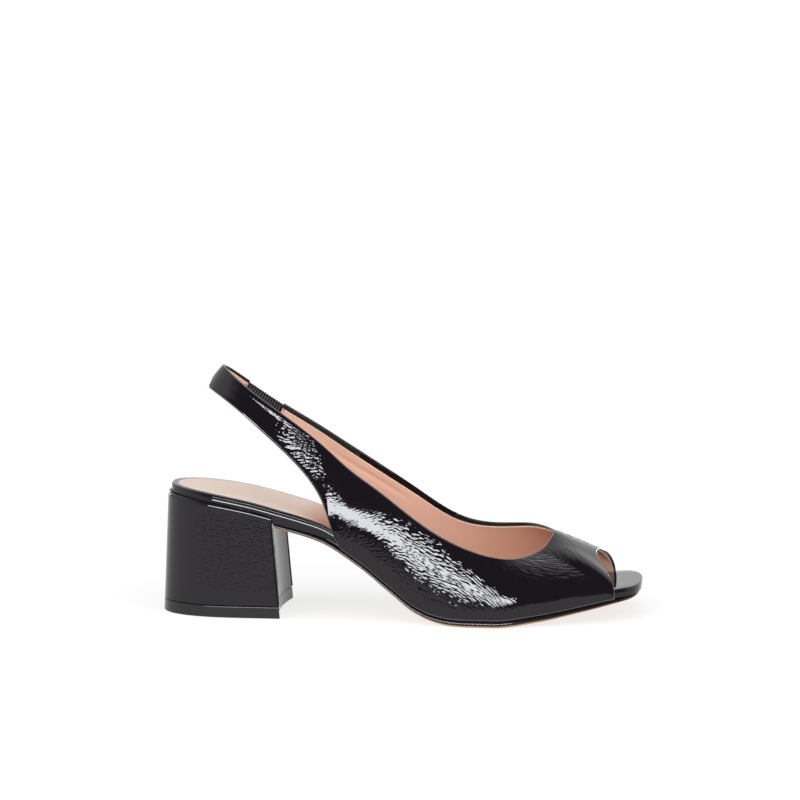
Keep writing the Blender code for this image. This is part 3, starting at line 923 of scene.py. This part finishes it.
# %% [markdown]
# ## Crinkle by place
# The crinkle is strong where the leather is slack and weak where it is pulled over the toes and the
# quarter. The table follows the ring. Each row says how strong the crinkle is on the lower and on the
# upper part of the wall, at which share of the height it changes, by how many degrees the wrinkles lean,
# and how much they stand upright, as on the strap, or grow broad, as on the vamp. The numbers go onto the
# vertices, where the finish reads them.

# %% Upper leather
CrinkleRow = namedtuple("CrinkleRow", "row lower upper change lean upright broad")
CRINKLE = [CrinkleRow(*row) for row in [
    ("ridge", 0.6, 0.6, 0.5, 0.0, 0.0, 1.0),
    ("lateral shoulder", 0.8, 1.2, 0.4, 6.0, 0.0, 1.0),
    ("lateral toe edge", 0.4, 2.2, 0.42, 6.0, 0.0, 1.0),
    ("lateral toe corner", 0.15, 3.0, 0.36, 3.0, 0.0, 1.0),
    ("lateral toe", 0.1, 3.4, 0.38, -6.0, 0.0, 1.0),
    ("little toe", 0.12, 2.8, 0.48, -30.0, 0.0, 0.9),
    ("lateral ball", 0.42, 0.75, 0.50, -48.0, 0.0, 0.0),
    ("behind the ball", 0.52, 0.8, 0.72, -10.0, 0.0, 0.0),
    ("lateral waist", 0.36, 0.4, 0.68, 20.0, 0.0, 0.0),
    ("lateral quarter", 0.20, 0.10, 0.62, 42.0, 0.0, 0.0),
    ("lateral quarter corner", 0.22, 0.02, 0.42, 50.0, 0.0, 0.0),
    ("lateral quarter back", 0.15, 0.25, 0.45, 50.0, 0.2, 0.0),
    ("lateral strap root", 1.2, 2.2, 0.50, 40.0, 0.3, 0.0),
    ("lateral strap", 0.55, 0.7, 0.55, 15.0, 0.5, 0.0),
    ("lateral strap bend", 1.1, 1.1, 0.5, 0.0, 0.5, 0.0),
    ("strap back", 0.06, 0.06, 0.5, 0.0, 0.5, 0.0),
    ("elastic rear", 0.1, 0.1, 0.5, 0.0, 0.5, 0.0),
    ("medial strap root", 0.7, 0.7, 0.5, 0.0, 0.5, 0.0),
    ("medial quarter", 0.3, 0.3, 0.5, 30.0, 0.0, 0.0),
    ("medial instep", 0.25, 0.6, 0.6, 0.0, 0.0, 0.0),
    ("medial ball", 0.25, 0.6, 0.5, 0.0, 0.0, 0.3),
    ("medial toe", 0.1, 0.8, 0.5, 0.0, 0.0, 1.0),
    ("medial shoulder", 0.6, 0.8, 0.4, 0.0, 0.0, 1.0),
]]
SMOOTH_FOOT = 0.08
FULL_FROM = 0.2
FULL_TO = 0.92
CHANGE_SPAN = 0.07
CRINKLE_AT_FOLD = 0.3


def crinkle_amount(r, shares, columns):
    """Strength of the crinkle on the outside; the folded edges and the inside stay smooth."""
    lower, upper, change = (ring_column(r, CRINKLE, name) for name in ("lower", "upper", "change"))
    amount = np.zeros((len(r), columns))
    for i in range(len(r)):
        middle = (change[i] - CHANGE_SPAN, change[i] + CHANGE_SPAN)
        stops = [0.0, SMOOTH_FOOT, FULL_FROM, *middle, FULL_TO, 1.0]
        levels = [0.0, 0.0, lower[i], lower[i], upper[i], upper[i], CRINKLE_AT_FOLD * upper[i]]
        amount[i, :UPPER_ROWS] = np.interp(shares[i], stops, levels)
    return amount


def strand_drift(r):
    """How far the leaning wrinkles have climbed at each place on the ring."""
    climb = -np.tan(np.radians(ring_column(r, CRINKLE, "lean")))
    steps = np.diff(r) * (climb[1:] + climb[:-1]) / 2
    return np.concatenate([[0.0], np.cumsum(steps)])


def make_upper():
    r = np.linspace(front_end - form.length, rear_end, UPPER_STATIONS)
    loop = folded_section(r, UPPER_ROWS, LEATHER)
    flat = ring_flat(r, loop)
    outside = flat[:, :UPPER_ROWS, 1]
    places = loop.shape[:2]
    piece = fitted_grid("upper_leather", loop, flat)
    leaning = flat - np.stack([np.zeros_like(r), strand_drift(r)], -1)[:, None]
    lay_flat(piece.data, piece.data.uv_layers.new(name="strand"), leaning)
    add_attribute(piece, "crinkle", crinkle_amount(r, outside / outside[:, -1:], places[1]))
    # Rows of the folded edges, where the black is painted paler as a highlight.
    fold_highlight = np.zeros(places[1])
    fold_highlight[UPPER_ROWS - 1:UPPER_ROWS + FOLD_STEPS // 2] = 1.0
    fold_highlight[-FOLD_STEPS // 2 - 1:] = 1.0
    fold_highlight[0] = 1.0
    add_attribute(piece, "edge", np.broadcast_to(fold_highlight, places))
    for name in ("upright", "broad"):
        add_attribute(piece, name, np.broadcast_to(ring_column(r, CRINKLE, name)[:, None], places))
    close_piece(piece, fill_ends=True)
    finish_piece(piece, upper_patent, "patent_leather", "upper")


make_upper()

# %% [markdown]
# ## Lining
# A nude leather lining is glued inside, set back from the folded edges, so a black border shows round
# it, and a paler tone painted along its cut edge, a painted highlight, draws a thin line. It is a second
# sheet on the same form, a leather's thickness further in.

# %% Lining
SetbackRow = namedtuple("SetbackRow", "row setback")
LINING_SETBACK = [SetbackRow(*row) for row in [
    ("ridge", 2.2),
    ("lateral toe corner", 2.6),
    ("lateral quarter", 3.4),
    ("lateral strap", 2.4),
    ("strap back", 1.1),
    ("elastic rear", 1.5),
    ("elastic front", 2.6),
    ("medial quarter back", 3.6),
    ("medial quarter", 3.7),
    ("medial instep", 3.4),
    ("medial ball", 2.6),
    ("medial toe corner", 2.2),
]]
LINING_OUTER = 1.15
LINING_INNER = 1.78
LINING_LAP = 0.2
LAP_LENGTH = 4.0
LINING_END = 0.4
FOOT_MARGIN = 0.4
FREE_MARGIN = 2.4
FREE_SPAN = 4.0
LINING_STATIONS = 360
LINING_ROWS = 64
CREASE_START = ("medial quarter back", 9.4)
CREASE_END = ("medial quarter", 8.2)
CREASE_EASE = 16.0
CREASE_WIDTH = 1.4
CREASE_DEPTH = 0.4
TONE_DRIFT = (45.0, 3.0)
LEATHER_GRAIN = Grain(2600.0, 2.0, 0.00003)


def nude_leather(name, colour, dark, second, second_amount):
    """Smooth nude leather with a fine grain, a slow drift of tone and a second tone by place: a painted
    highlight on the lining's cut edges, a darker tan on the sock towards the quarter.
    """
    material, tree, shader = new_material(name, Roughness=0.55, Specular_IOR_Level=0.25)
    place = object_place(tree)
    drift = noise(tree, place, *TONE_DRIFT).outputs["Fac"]
    tone = blend(tree, drift, (*colour, 1.0), (*dark, 1.0), "RGBA")
    tone = blend(tree, second_amount(tree), tone, (*second, 1.0), "RGBA")
    tree.links.new(tone, shader.inputs["Base Color"])
    press_grain(tree, shader, place, LEATHER_GRAIN)
    return material


def lining_crease(r, height):
    """Depth of the long soft crease in the lining of the inner quarter."""
    start, start_drop = CREASE_START
    end, end_drop = CREASE_END
    ring = r % form.length
    ends = form.at_row[start], form.at_row[end]
    drop = np.interp(ring, ends, (start_drop, end_drop))
    inside = np.minimum(ring - ends[0], ends[1] - ring) / CREASE_EASE
    share = np.clip(1 + inside, 0.0, 1.0)
    from_line = (form.heights(r) - drop)[:, None] - height
    return CREASE_DEPTH * share[:, None] * np.exp(-((from_line / CREASE_WIDTH) ** 2))


def make_lining():
    r = np.linspace(front_end - form.length + LINING_END, rear_end - LINING_END, LINING_STATIONS)
    free = np.clip(form.off_sole(r) / FREE_SPAN, 0.0, 1.0)
    setback = ring_column(r, LINING_SETBACK, "setback")
    low_margin = FOOT_MARGIN + (np.minimum(setback, FREE_MARGIN) - FOOT_MARGIN) * free
    points, outward, _, height = form.sections(r, LINING_ROWS, low_margin, setback, EDGE_CROWDING)
    from_end = np.minimum(r - r[0], r[-1] - r)
    lap = LINING_LAP * np.clip(2 - from_end / LAP_LENGTH, 0.0, 1.0)[:, None, None]
    back = points - outward * (LINING_OUTER + lap)
    crease = lining_crease(r, height)[:, :, None]
    face = (points - outward * (LINING_INNER + lap - crease))[:, ::-1]
    loop = np.concatenate([back, face, back[:, :1]], axis=1)
    piece = fitted_grid("upper_lining", loop, ring_flat(r, loop))
    # Rows of the cut edges, painted paler as a highlight.
    cut = np.zeros(loop.shape[1])
    cut[LINING_ROWS - 1:LINING_ROWS + 2] = 1.0
    cut[-2:] = 1.0
    cut[0] = 1.0
    add_attribute(piece, "cut", np.broadcast_to(cut, loop.shape[:2]))
    close_piece(piece, fill_ends=True)
    finish_piece(piece, lining_leather, "nude_leather")


def cut_edge_highlight(tree):
    return number_attribute(tree, "cut")


lining_leather = nude_leather(
    "lining_leather", (0.77, 0.475, 0.357), (0.72, 0.43, 0.32), (0.90, 0.68, 0.54), cut_edge_highlight,
)
make_lining()

# %% [markdown]
# ## Stitches
# Where the elastic is sewn between leather and lining, a few short stitches show on the lining at both
# of its ends. Each is a small flattened bead of thread.

# %% Stitches
STITCH_SHARES = (0.50, 0.66, 0.82)
STITCH_FROM_END = 1.3
STITCH_SIZE = (0.42, 0.42, 0.2)
STITCH_ROWS = 101
THREAD_BROWN = (0.16, 0.09, 0.06, 1.0)
THREAD_GRAIN = Grain(4000.0, 1.0, 0.00005)


def make_stitches():
    stitches = []
    for r in (rear_end - STITCH_FROM_END, front_end + STITCH_FROM_END):
        place = np.array([r - 0.5, r, r + 0.5])
        margin = np.zeros(3)
        points, outward = form.sections(place, STITCH_ROWS, margin, margin)[:2]
        for share in STITCH_SHARES:
            row = round(share * (STITCH_ROWS - 1))
            spot = points[1, row] - outward[1, row] * (LINING_INNER + LINING_LAP * 2)
            bpy.ops.mesh.primitive_uv_sphere_add(
                segments=12, ring_count=8, radius=1.0, location=spot * MM,
            )
            bead = bpy.context.active_object
            bead.scale = [side * MM for side in STITCH_SIZE]
            bead.rotation_euler = Vector(outward[1, row]).to_track_quat("Z", "Y").to_euler()
            stitches.append(bead)
    piece = join_parts(stitches, "lining_stitches")
    bpy.ops.object.shade_smooth()
    thread = grained_material("stitch_thread", THREAD_BROWN, THREAD_GRAIN, Roughness=0.5)
    finish_piece(piece, thread, "nude_leather")


make_stitches()

# %% [markdown]
# ## Board, sock and outsole
# These are sheets cut to the shoe's plan. One grid wraps the whole slab: from the middle of the
# underside out to the edge, up the edge's profile and back to the middle of the top. The rounded toe and
# seat need no caps that way, and the edge can be as finely profiled as the real one. The sock lies on
# the board a few millimetres inside its rim. The outsole is tan below, and its edge is dressed black, with
# a groove and a notched bead above it.

# %% Slabs of the plan
SLAB_STATIONS = 150
CROSS_STEPS = 5
CORNER_STEPS = 6
RISE_BELOW = -0.1
RISE_ABOVE = 1.1
EdgeStep = namedtuple("EdgeStep", "inset rise")


def quarter_round(inset, low, high, opens):
    """Steps of a rounded corner between two rises; it opens outwards or closes inwards."""
    turn = np.linspace(0.0, np.pi / 2, CORNER_STEPS)
    if opens:
        return [EdgeStep(inset * (1 - np.sin(t)), low + (high - low) * (1 - np.cos(t))) for t in turn]
    return [EdgeStep(inset * (1 - np.cos(t)), low + (high - low) * np.sin(t)) for t in turn]


def wrapped_slab(name, back, tip, inset, edge, bottom, top, back_end=seat_end):
    """Closed slab of the plan between two heights along x, with an edge profile."""
    spread = (1 - np.cos(np.pi * np.linspace(0.0, 1.0, SLAB_STATIONS))) / 2
    rings = []
    rises = []
    for step in edge:
        start = back + step.inset
        end = tip - step.inset
        x = start + spread * (end - start)
        lateral, medial = outline(x, inset(x) + step.inset, start, end, back_end)
        z = bottom(x) + step.rise * (top(x) - bottom(x))
        near_side = np.stack([x, lateral, z], -1)
        far_side = np.stack([x, medial, z], -1)
        rings.append(np.concatenate([near_side, far_side[::-1]]))
        rises.append(step.rise)
    shares = np.linspace(0.5, 0.0, CROSS_STEPS)[:-1]
    crossing = [rings[0] + (rings[0][::-1] - rings[0]) * share for share in shares]
    closing = [rings[-1] + (rings[-1][::-1] - rings[-1]) * share for share in shares[::-1]]
    points = np.stack(crossing + rings + closing)
    rise = np.array([RISE_BELOW] * len(crossing) + rises + [RISE_ABOVE] * len(closing))
    along = flat_distances(points)
    up = flat_distances(points.transpose(1, 0, 2)).T
    piece = fitted_grid(name, points, np.stack([along, up], -1))
    add_attribute(piece, "rise", np.broadcast_to(rise[:, None], points.shape[:2]))
    close_piece(piece)
    return piece


BOARD_RIM = [EdgeStep(*step) for step in [(0.0, 0.60), (0.03, 0.64), (0.08, 0.68), (0.12, 0.71)]]
BOARD_EDGE = quarter_round(0.3, 0.0, 0.05, True) + BOARD_RIM + quarter_round(0.8, 0.78, 1.0, False)[1:]
SOCK_EDGE = quarter_round(0.1, 0.0, 0.1, True) + quarter_round(1.0, 0.25, 1.0, False)
OUTSOLE_EDGE = [EdgeStep(*row) for row in [
    (0.9, 0.0),
    (0.55, 0.06),
    (0.42, 0.14),
    (0.38, 0.22),
    (0.38, 0.31),
    (0.6, 0.34),
    (0.6, 0.40),
    (0.12, 0.43),
    (0.02, 0.47),
    (0.0, 0.52),
    (0.024, 0.59),
    (0.05, 0.66),
    (0.08, 0.73),
    (0.15, 0.80),
    (0.28, 0.87),
    (0.48, 0.94),
    (0.8, 1.0),
]]
SOCK_TAN_SPAN = (-0.054, -0.036)
SOCK_SINK = 0.4
SOCK_PROUD = 0.12


def towards_quarter(tree):
    """Share that grows from the open seat to the part under the foot."""
    return fade(tree, axis(tree, object_place(tree), "X"), *SOCK_TAN_SPAN)


sock_leather = nude_leather(
    "sock_leather", (0.73, 0.605, 0.53), (0.69, 0.56, 0.48), (0.58, 0.345, 0.245), towards_quarter,
)

board = wrapped_slab("board_wrap", BOARD_BACK, TOE_TIP, board_inset, BOARD_EDGE, board_under, board_top)
finish_piece(board, board_patent, "patent_leather", "insole_board")


def sock_bed(x):
    return board_top(x) - SOCK_SINK


def sock_face(x):
    return board_top(x) + SOCK_PROUD


sock = wrapped_slab(
    "insole_sock_leather", BOARD_BACK + SOCK_MARGIN, SOCK_FRONT, sock_inset, SOCK_EDGE, sock_bed, sock_face,
)
finish_piece(sock, sock_leather, "nude_leather", "insole_sock")

# %% Outsole
BEAD_NOTCH = 0.0021
BEAD_DEPTH = 0.00008
BEAD_MIDDLE = 0.66
BEAD_FOOT = (0.42, 0.48)
BEAD_HEAD = (0.96, 0.88)
NOTCHED_FROM = (0.008, 0.030)
DRESSED_FROM = (0.26, 0.30)
EDGE_GLOSS = (0.5, 0.12)
SOLE_TAN = (0.40, 0.22, 0.11, 1.0)
EDGE_BLACK = (0.006, 0.005, 0.006, 1.0)


def sole_leather():
    """Tan underside and a black dressed edge, told apart by the rise along the edge profile."""
    material, tree, shader = new_material("outsole_leather", Specular_IOR_Level=0.4)
    rise = number_attribute(tree, "rise")
    dressed = fade(tree, rise, *DRESSED_FROM, shape="LINEAR")
    colour = blend(tree, dressed, SOLE_TAN, EDGE_BLACK, "RGBA")
    tree.links.new(colour, shader.inputs["Base Color"])
    gloss = fade(tree, dressed, 0.0, 1.0, *EDGE_GLOSS, shape="LINEAR")
    tree.links.new(gloss, shader.inputs["Roughness"])
    turn = math_node(tree, "MULTIPLY", axis(tree, flat_place(tree), "X"), 2 * math.pi / BEAD_NOTCH)
    notches = product(
        tree, math_node(tree, "SINE", turn), math_node(tree, "SUBTRACT", rise, BEAD_MIDDLE),
        fade(tree, rise, *BEAD_FOOT), fade(tree, rise, *BEAD_HEAD),
        fade(tree, axis(tree, object_place(tree), "X"), *NOTCHED_FROM),
    )
    press_in(tree, shader, notches, BEAD_DEPTH)
    return material


outsole = wrapped_slab(
    "outsole_leather_sole", OUTSOLE_BACK, TOE_TIP - OUTSOLE_TOE_SETBACK, outsole_inset, OUTSOLE_EDGE,
    under, sole_top, back_end=breast_end,
)
finish_piece(outsole, sole_leather(), "tan_sole", "outsole")

# %% [markdown]
# ## Heel and top piece
# The block is a stack of one plan, narrower towards the seat: round at the back, straight at the sides
# and hollow at the breast. It is drawn as a wrapped grid, and a Boolean with a slab of the board's plan
# cuts the seat, so the lip that is left follows the board exactly. A small bevel breaks the edges. The
# patent cover is folded in at the two front corners, where a thin rod of dull black leather stands for
# the seam and is the painted shade of its groove, a dark line down each corner.

# %% Heel block
HEEL_AXIS_Y = -3.0
HEEL_HALF_WIDTH = 26.6
HEEL_BACK_ROUND = 45.0
HEEL_BACK_POWER = 2.5
HEEL_BACK_BOTTOM = -123.5
HEEL_BACK_TOP = -120.8
HEEL_BREAST_TOP = -64.6
HEEL_BREAST_BOTTOM = -60.0
HEEL_HEIGHT = 66.0
HEEL_LIP_DROP = 4.2
TOP_PIECE_HEIGHT = 6.2
HEEL_SIDE_STATIONS = 60
HEEL_BREAST_STATIONS = 25
HEEL_LEVELS = 22
LIP_LEVELS = 12
LIP_ROUND = (2.4, 0.68)
WALL_TO = 0.93
LIP_FROM = 0.936
TOP_PIECE_ROUND = (1.0, 0.26)
HEEL_BEVEL = 0.35


def lip_height(x):
    return board_top(x) - HEEL_LIP_DROP


def rounding(depth, size):
    """How far an elliptic rounding stands in at a depth below its top."""
    tall, wide = size
    climb = np.clip(1 - depth / tall, 0.0, 1.0)
    return wide * (1 - np.sqrt(1 - climb ** 2))


def heel_loop(z, inset):
    """Plan of the heel at a height: round back, straight sides, hollow breast."""
    share = z / (HEEL_HEIGHT - HEEL_LIP_DROP)
    back = HEEL_BACK_BOTTOM + share * (HEEL_BACK_TOP - HEEL_BACK_BOTTOM) + inset
    breast = HEEL_BREAST_BOTTOM + share * (HEEL_BREAST_TOP - HEEL_BREAST_BOTTOM)
    turn = np.pi / 2 * np.arange(1, HEEL_SIDE_STATIONS + 1) / HEEL_SIDE_STATIONS
    from_back = (1 - np.cos(turn)) * (breast - back)
    half = (HEEL_HALF_WIDTH - inset) * rounded_end(from_back, HEEL_BACK_ROUND, HEEL_BACK_POWER)
    x = back + from_back
    breast_y = np.linspace(1, -1, HEEL_BREAST_STATIONS)[1:-1]
    breast_x = breast - HEEL_BREAST_HOLLOW * (1 - breast_y ** 2)
    xs = np.concatenate([x[::-1], x, breast_x, x[-1:]])
    ys = HEEL_AXIS_Y + np.concatenate([-half[::-1], half, breast_y * half[-1], -half[-1:]])
    return xs, ys


def heel_wall(name, levels, height_at, round_size):
    """Closed stack of heel plans with a rounded top; height_at gives z for a share of the height and x."""
    loops = []
    top = levels[-1][1]
    for share, plan_z in levels:
        x, y = heel_loop(plan_z, rounding(top - plan_z, round_size))
        loops.append(np.stack([x, y, height_at(share, x)], -1))
    points = np.stack(loops)
    along = flat_distances(points)
    climb = np.array([plan_z - levels[0][1] for share, plan_z in levels])
    flat = np.stack([along, np.broadcast_to(climb[:, None], along.shape)], -1)
    piece = fitted_grid(name, points, flat)
    close_piece(piece, fill_ends=True)
    return piece


def break_edges(piece, width):
    """Small bevel on every sharp edge."""
    bevel = piece.modifiers.new("broken edges", "BEVEL")
    bevel.width = width * MM
    bevel.segments = 3
    bevel.limit_method = "ANGLE"
    bevel.angle_limit = SMOOTH_ANGLE
    bevel.use_clamp_overlap = True
    bpy.ops.object.modifier_apply(modifier=bevel.name)
    bpy.ops.object.shade_smooth_by_angle(angle=SMOOTH_ANGLE)


def make_heel():
    low = TOP_PIECE_HEIGHT + FIT_GAP
    lip = HEEL_HEIGHT - HEEL_LIP_DROP
    wall = np.linspace(0.0, WALL_TO, HEEL_LEVELS)
    shares = np.concatenate([wall, np.linspace(LIP_FROM, 1.0, LIP_LEVELS)])
    levels = [(share, low + share * (lip - low)) for share in shares]

    def block_height(share, x):
        return low + share * (lip_height(x) - low)

    def seat_inset(x):
        return board_inset(x) - FIT_GAP

    def seat_top(x):
        return board_top(x) + HEEL_HEIGHT

    block = heel_wall("heel_block_wrap", levels, block_height, LIP_ROUND)
    straight = [EdgeStep(0.0, 0.0), EdgeStep(0.0, 1.0)]
    seat = wrapped_slab(
        "heel_seat_cutter", BOARD_BACK - FIT_GAP, TOE_TIP, seat_inset, straight, sole_top, seat_top,
    )
    bpy.ops.object.select_all(action="DESELECT")
    block.select_set(True)
    bpy.context.view_layer.objects.active = block
    cut = block.modifiers.new("seat", "BOOLEAN")
    cut.object = seat
    cut.operation = "DIFFERENCE"
    cut.solver = "EXACT"
    bpy.ops.object.modifier_apply(modifier=cut.name)
    bpy.data.objects.remove(seat)
    break_edges(block, HEEL_BEVEL)
    finish_piece(block, heel_patent, "patent_leather", "heel_block")


make_heel()

# %% Folded seams of the heel's cover, with the painted shade of their groove
FOLD_RADIUS = 0.55
FOLD_SUNK = 0.25
FOLD_LOW = (-60.5, 6.6)
FOLD_HIGH = (-64.4, 50.0)
SEAM_SHADE_BLACK = (0.004, 0.003, 0.004, 1.0)
FOLD_GRAIN = Grain(1800.0, 2.0, 0.00003)


def make_heel_seams_and_shade():
    seams = []
    for side in (-1, 1):
        y = HEEL_AXIS_Y + side * (HEEL_HALF_WIDTH - FOLD_SUNK)
        low, high = (Vector((x - FOLD_SUNK, y, z)) * MM for x, z in (FOLD_LOW, FOLD_HIGH))
        rod = high - low
        bpy.ops.mesh.primitive_cylinder_add(
            vertices=16, radius=FOLD_RADIUS * MM, depth=rod.length, location=(low + high) / 2,
            rotation=rod.to_track_quat("Z", "Y").to_euler(),
        )
        seams.append(bpy.context.active_object)
    piece = join_parts(seams, "heel_cover_seams_and_shade")
    bpy.ops.object.shade_smooth_by_angle(angle=SMOOTH_ANGLE)
    # The dull black rods are painted shade: they give the dark line of the groove at each front corner.
    folded = grained_material(
        "seam_and_groove_shade_leather", SEAM_SHADE_BLACK, FOLD_GRAIN, Roughness=0.6, Specular_IOR_Level=0.1,
    )
    finish_piece(piece, folded, "patent_leather")


make_heel_seams_and_shade()

# %% Top piece
RUBBER_BLACK = (0.008, 0.007, 0.008, 1.0)
RUBBER_GRAIN = Grain(1800.0, 2.0, 0.00002)
TOP_PIECE_LEVELS = 22
TOP_PIECE_BEVEL = 0.3


def make_top_piece():
    levels = [(share, share * TOP_PIECE_HEIGHT) for share in np.linspace(0, 1, TOP_PIECE_LEVELS)]

    def piece_height(share, x):
        return np.full_like(x, share * TOP_PIECE_HEIGHT)

    piece = heel_wall("heel_top_lift", levels, piece_height, TOP_PIECE_ROUND)
    break_edges(piece, TOP_PIECE_BEVEL)
    rubber = grained_material(
        "top_piece_rubber", RUBBER_BLACK, RUBBER_GRAIN, Roughness=0.16, Specular_IOR_Level=0.42,
    )
    finish_piece(piece, rubber, "lift_rubber", "heel_top_piece")


make_top_piece()

# %% [markdown]
# ## Gathered elastic
# A short elastic joins the strap's end to the inner quarter. Its cover is gathered, so it stands in
# narrow pleats across the band. The pleats are a wave along the ring, pressed into the sheet. Along
# their crests, high on the band's inner face, the cloth is painted paler, a painted highlight.

# %% Elastic
ELASTIC_THICKNESS = 1.3
ELASTIC_MARGIN_SHARE = 0.07
ELASTIC_STATIONS = 200
ELASTIC_ROWS = 14
PLEAT_SPACING = 1.6
PLEAT_DEPTH = 0.5
ELASTIC_LAP = 3.0
LAP_STATIONS = 6
ELASTIC_TONGUE = (1.14, 1.3)
TONGUE_MARGIN = 2.0
CREST_AT = 0.76
CREST_SPAN = 0.17
CREST_POWER = 4
PLEAT_BLACK = (0.005, 0.004, 0.005, 1.0)
PLEAT_HIGHLIGHT = (0.17, 0.17, 0.18, 1.0)
CLOTH_GRAIN = Grain(2500.0, 2.0, 0.00008)
PLEAT_SWAY = 0.5
SWAY_TURN = 0.45
END_GAP = 0.06


def elastic_cloth():
    """Dull black woven elastic with a painted highlight, a paler colour, along the crests of its pleats."""
    material, tree, shader = new_material("gathered_elastic_cloth", Roughness=0.45, Specular_IOR_Level=0.2)
    # The crest attribute carries the painted highlight on the pleats.
    colour = blend(tree, number_attribute(tree, "crest"), PLEAT_BLACK, PLEAT_HIGHLIGHT, "RGBA")
    tree.links.new(colour, shader.inputs["Base Color"])
    press_grain(tree, shader, flat_place(tree), CLOTH_GRAIN)
    return material


def make_elastic():
    r = np.concatenate([
        np.linspace(rear_end - ELASTIC_LAP, rear_end - END_GAP, LAP_STATIONS),
        np.linspace(rear_end + END_GAP, front_end - END_GAP, ELASTIC_STATIONS),
        np.linspace(front_end + END_GAP, front_end + ELASTIC_LAP, LAP_STATIONS),
    ])
    open_share = ((r > rear_end) & (r < front_end)).astype(float)[:, None]
    margin = form.heights(r) * ELASTIC_MARGIN_SHARE + TONGUE_MARGIN * (1 - open_share[:, 0])
    points, outward, _, height = form.sections(r, ELASTIC_ROWS, margin, margin)
    sway = PLEAT_SWAY * np.sin(height * SWAY_TURN)
    pleat = 0.5 - 0.5 * np.cos(2 * np.pi * (r[:, None] + sway) / PLEAT_SPACING)
    sunk = PLEAT_DEPTH * (1 - pleat)
    near, far = ELASTIC_TONGUE
    outer_depth = near + (sunk - near) * open_share
    inner_depth = far + (ELASTIC_THICKNESS - sunk - far) * open_share
    outer = points - outward * outer_depth[:, :, None]
    inner = (points - outward * inner_depth[:, :, None])[:, ::-1]
    loop = np.concatenate([outer, inner, outer[:, :1]], axis=1)
    piece = fitted_grid("elastic_gathers", loop, ring_flat(r, loop))
    share = height / form.heights(r)[:, None]
    # Painted highlight: paler cloth on the pleat crests of the inner face, high on the band.
    crest_highlight = open_share * np.exp(-(((share - CREST_AT) / CREST_SPAN) ** 2)) * (1 - pleat) ** CREST_POWER
    crest = np.zeros(loop.shape[:2])
    crest[:, ELASTIC_ROWS:2 * ELASTIC_ROWS] = crest_highlight[:, ::-1]
    add_attribute(piece, "crest", crest)
    close_piece(piece, fill_ends=True)
    finish_piece(piece, elastic_cloth(), "gathered_elastic", "elastic_insert")


make_elastic()

# %% [markdown]
# ## Light from behind
# The two softboxes behind the shoe are there for the glossy inner side. They light only the patent of
# the upper and the heel, so the matt sock and the board in front of the toes keep their even tone.

# %% Pieces in the light of the back softboxes
patent_pieces = bpy.data.collections.new("patent_pieces")
for name in ("upper_leather", "heel_block_wrap"):
    patent_pieces.objects.link(bpy.data.objects[name])
for lamp in back_lamps:
    lamp.light_linking.receiver_collection = patent_pieces
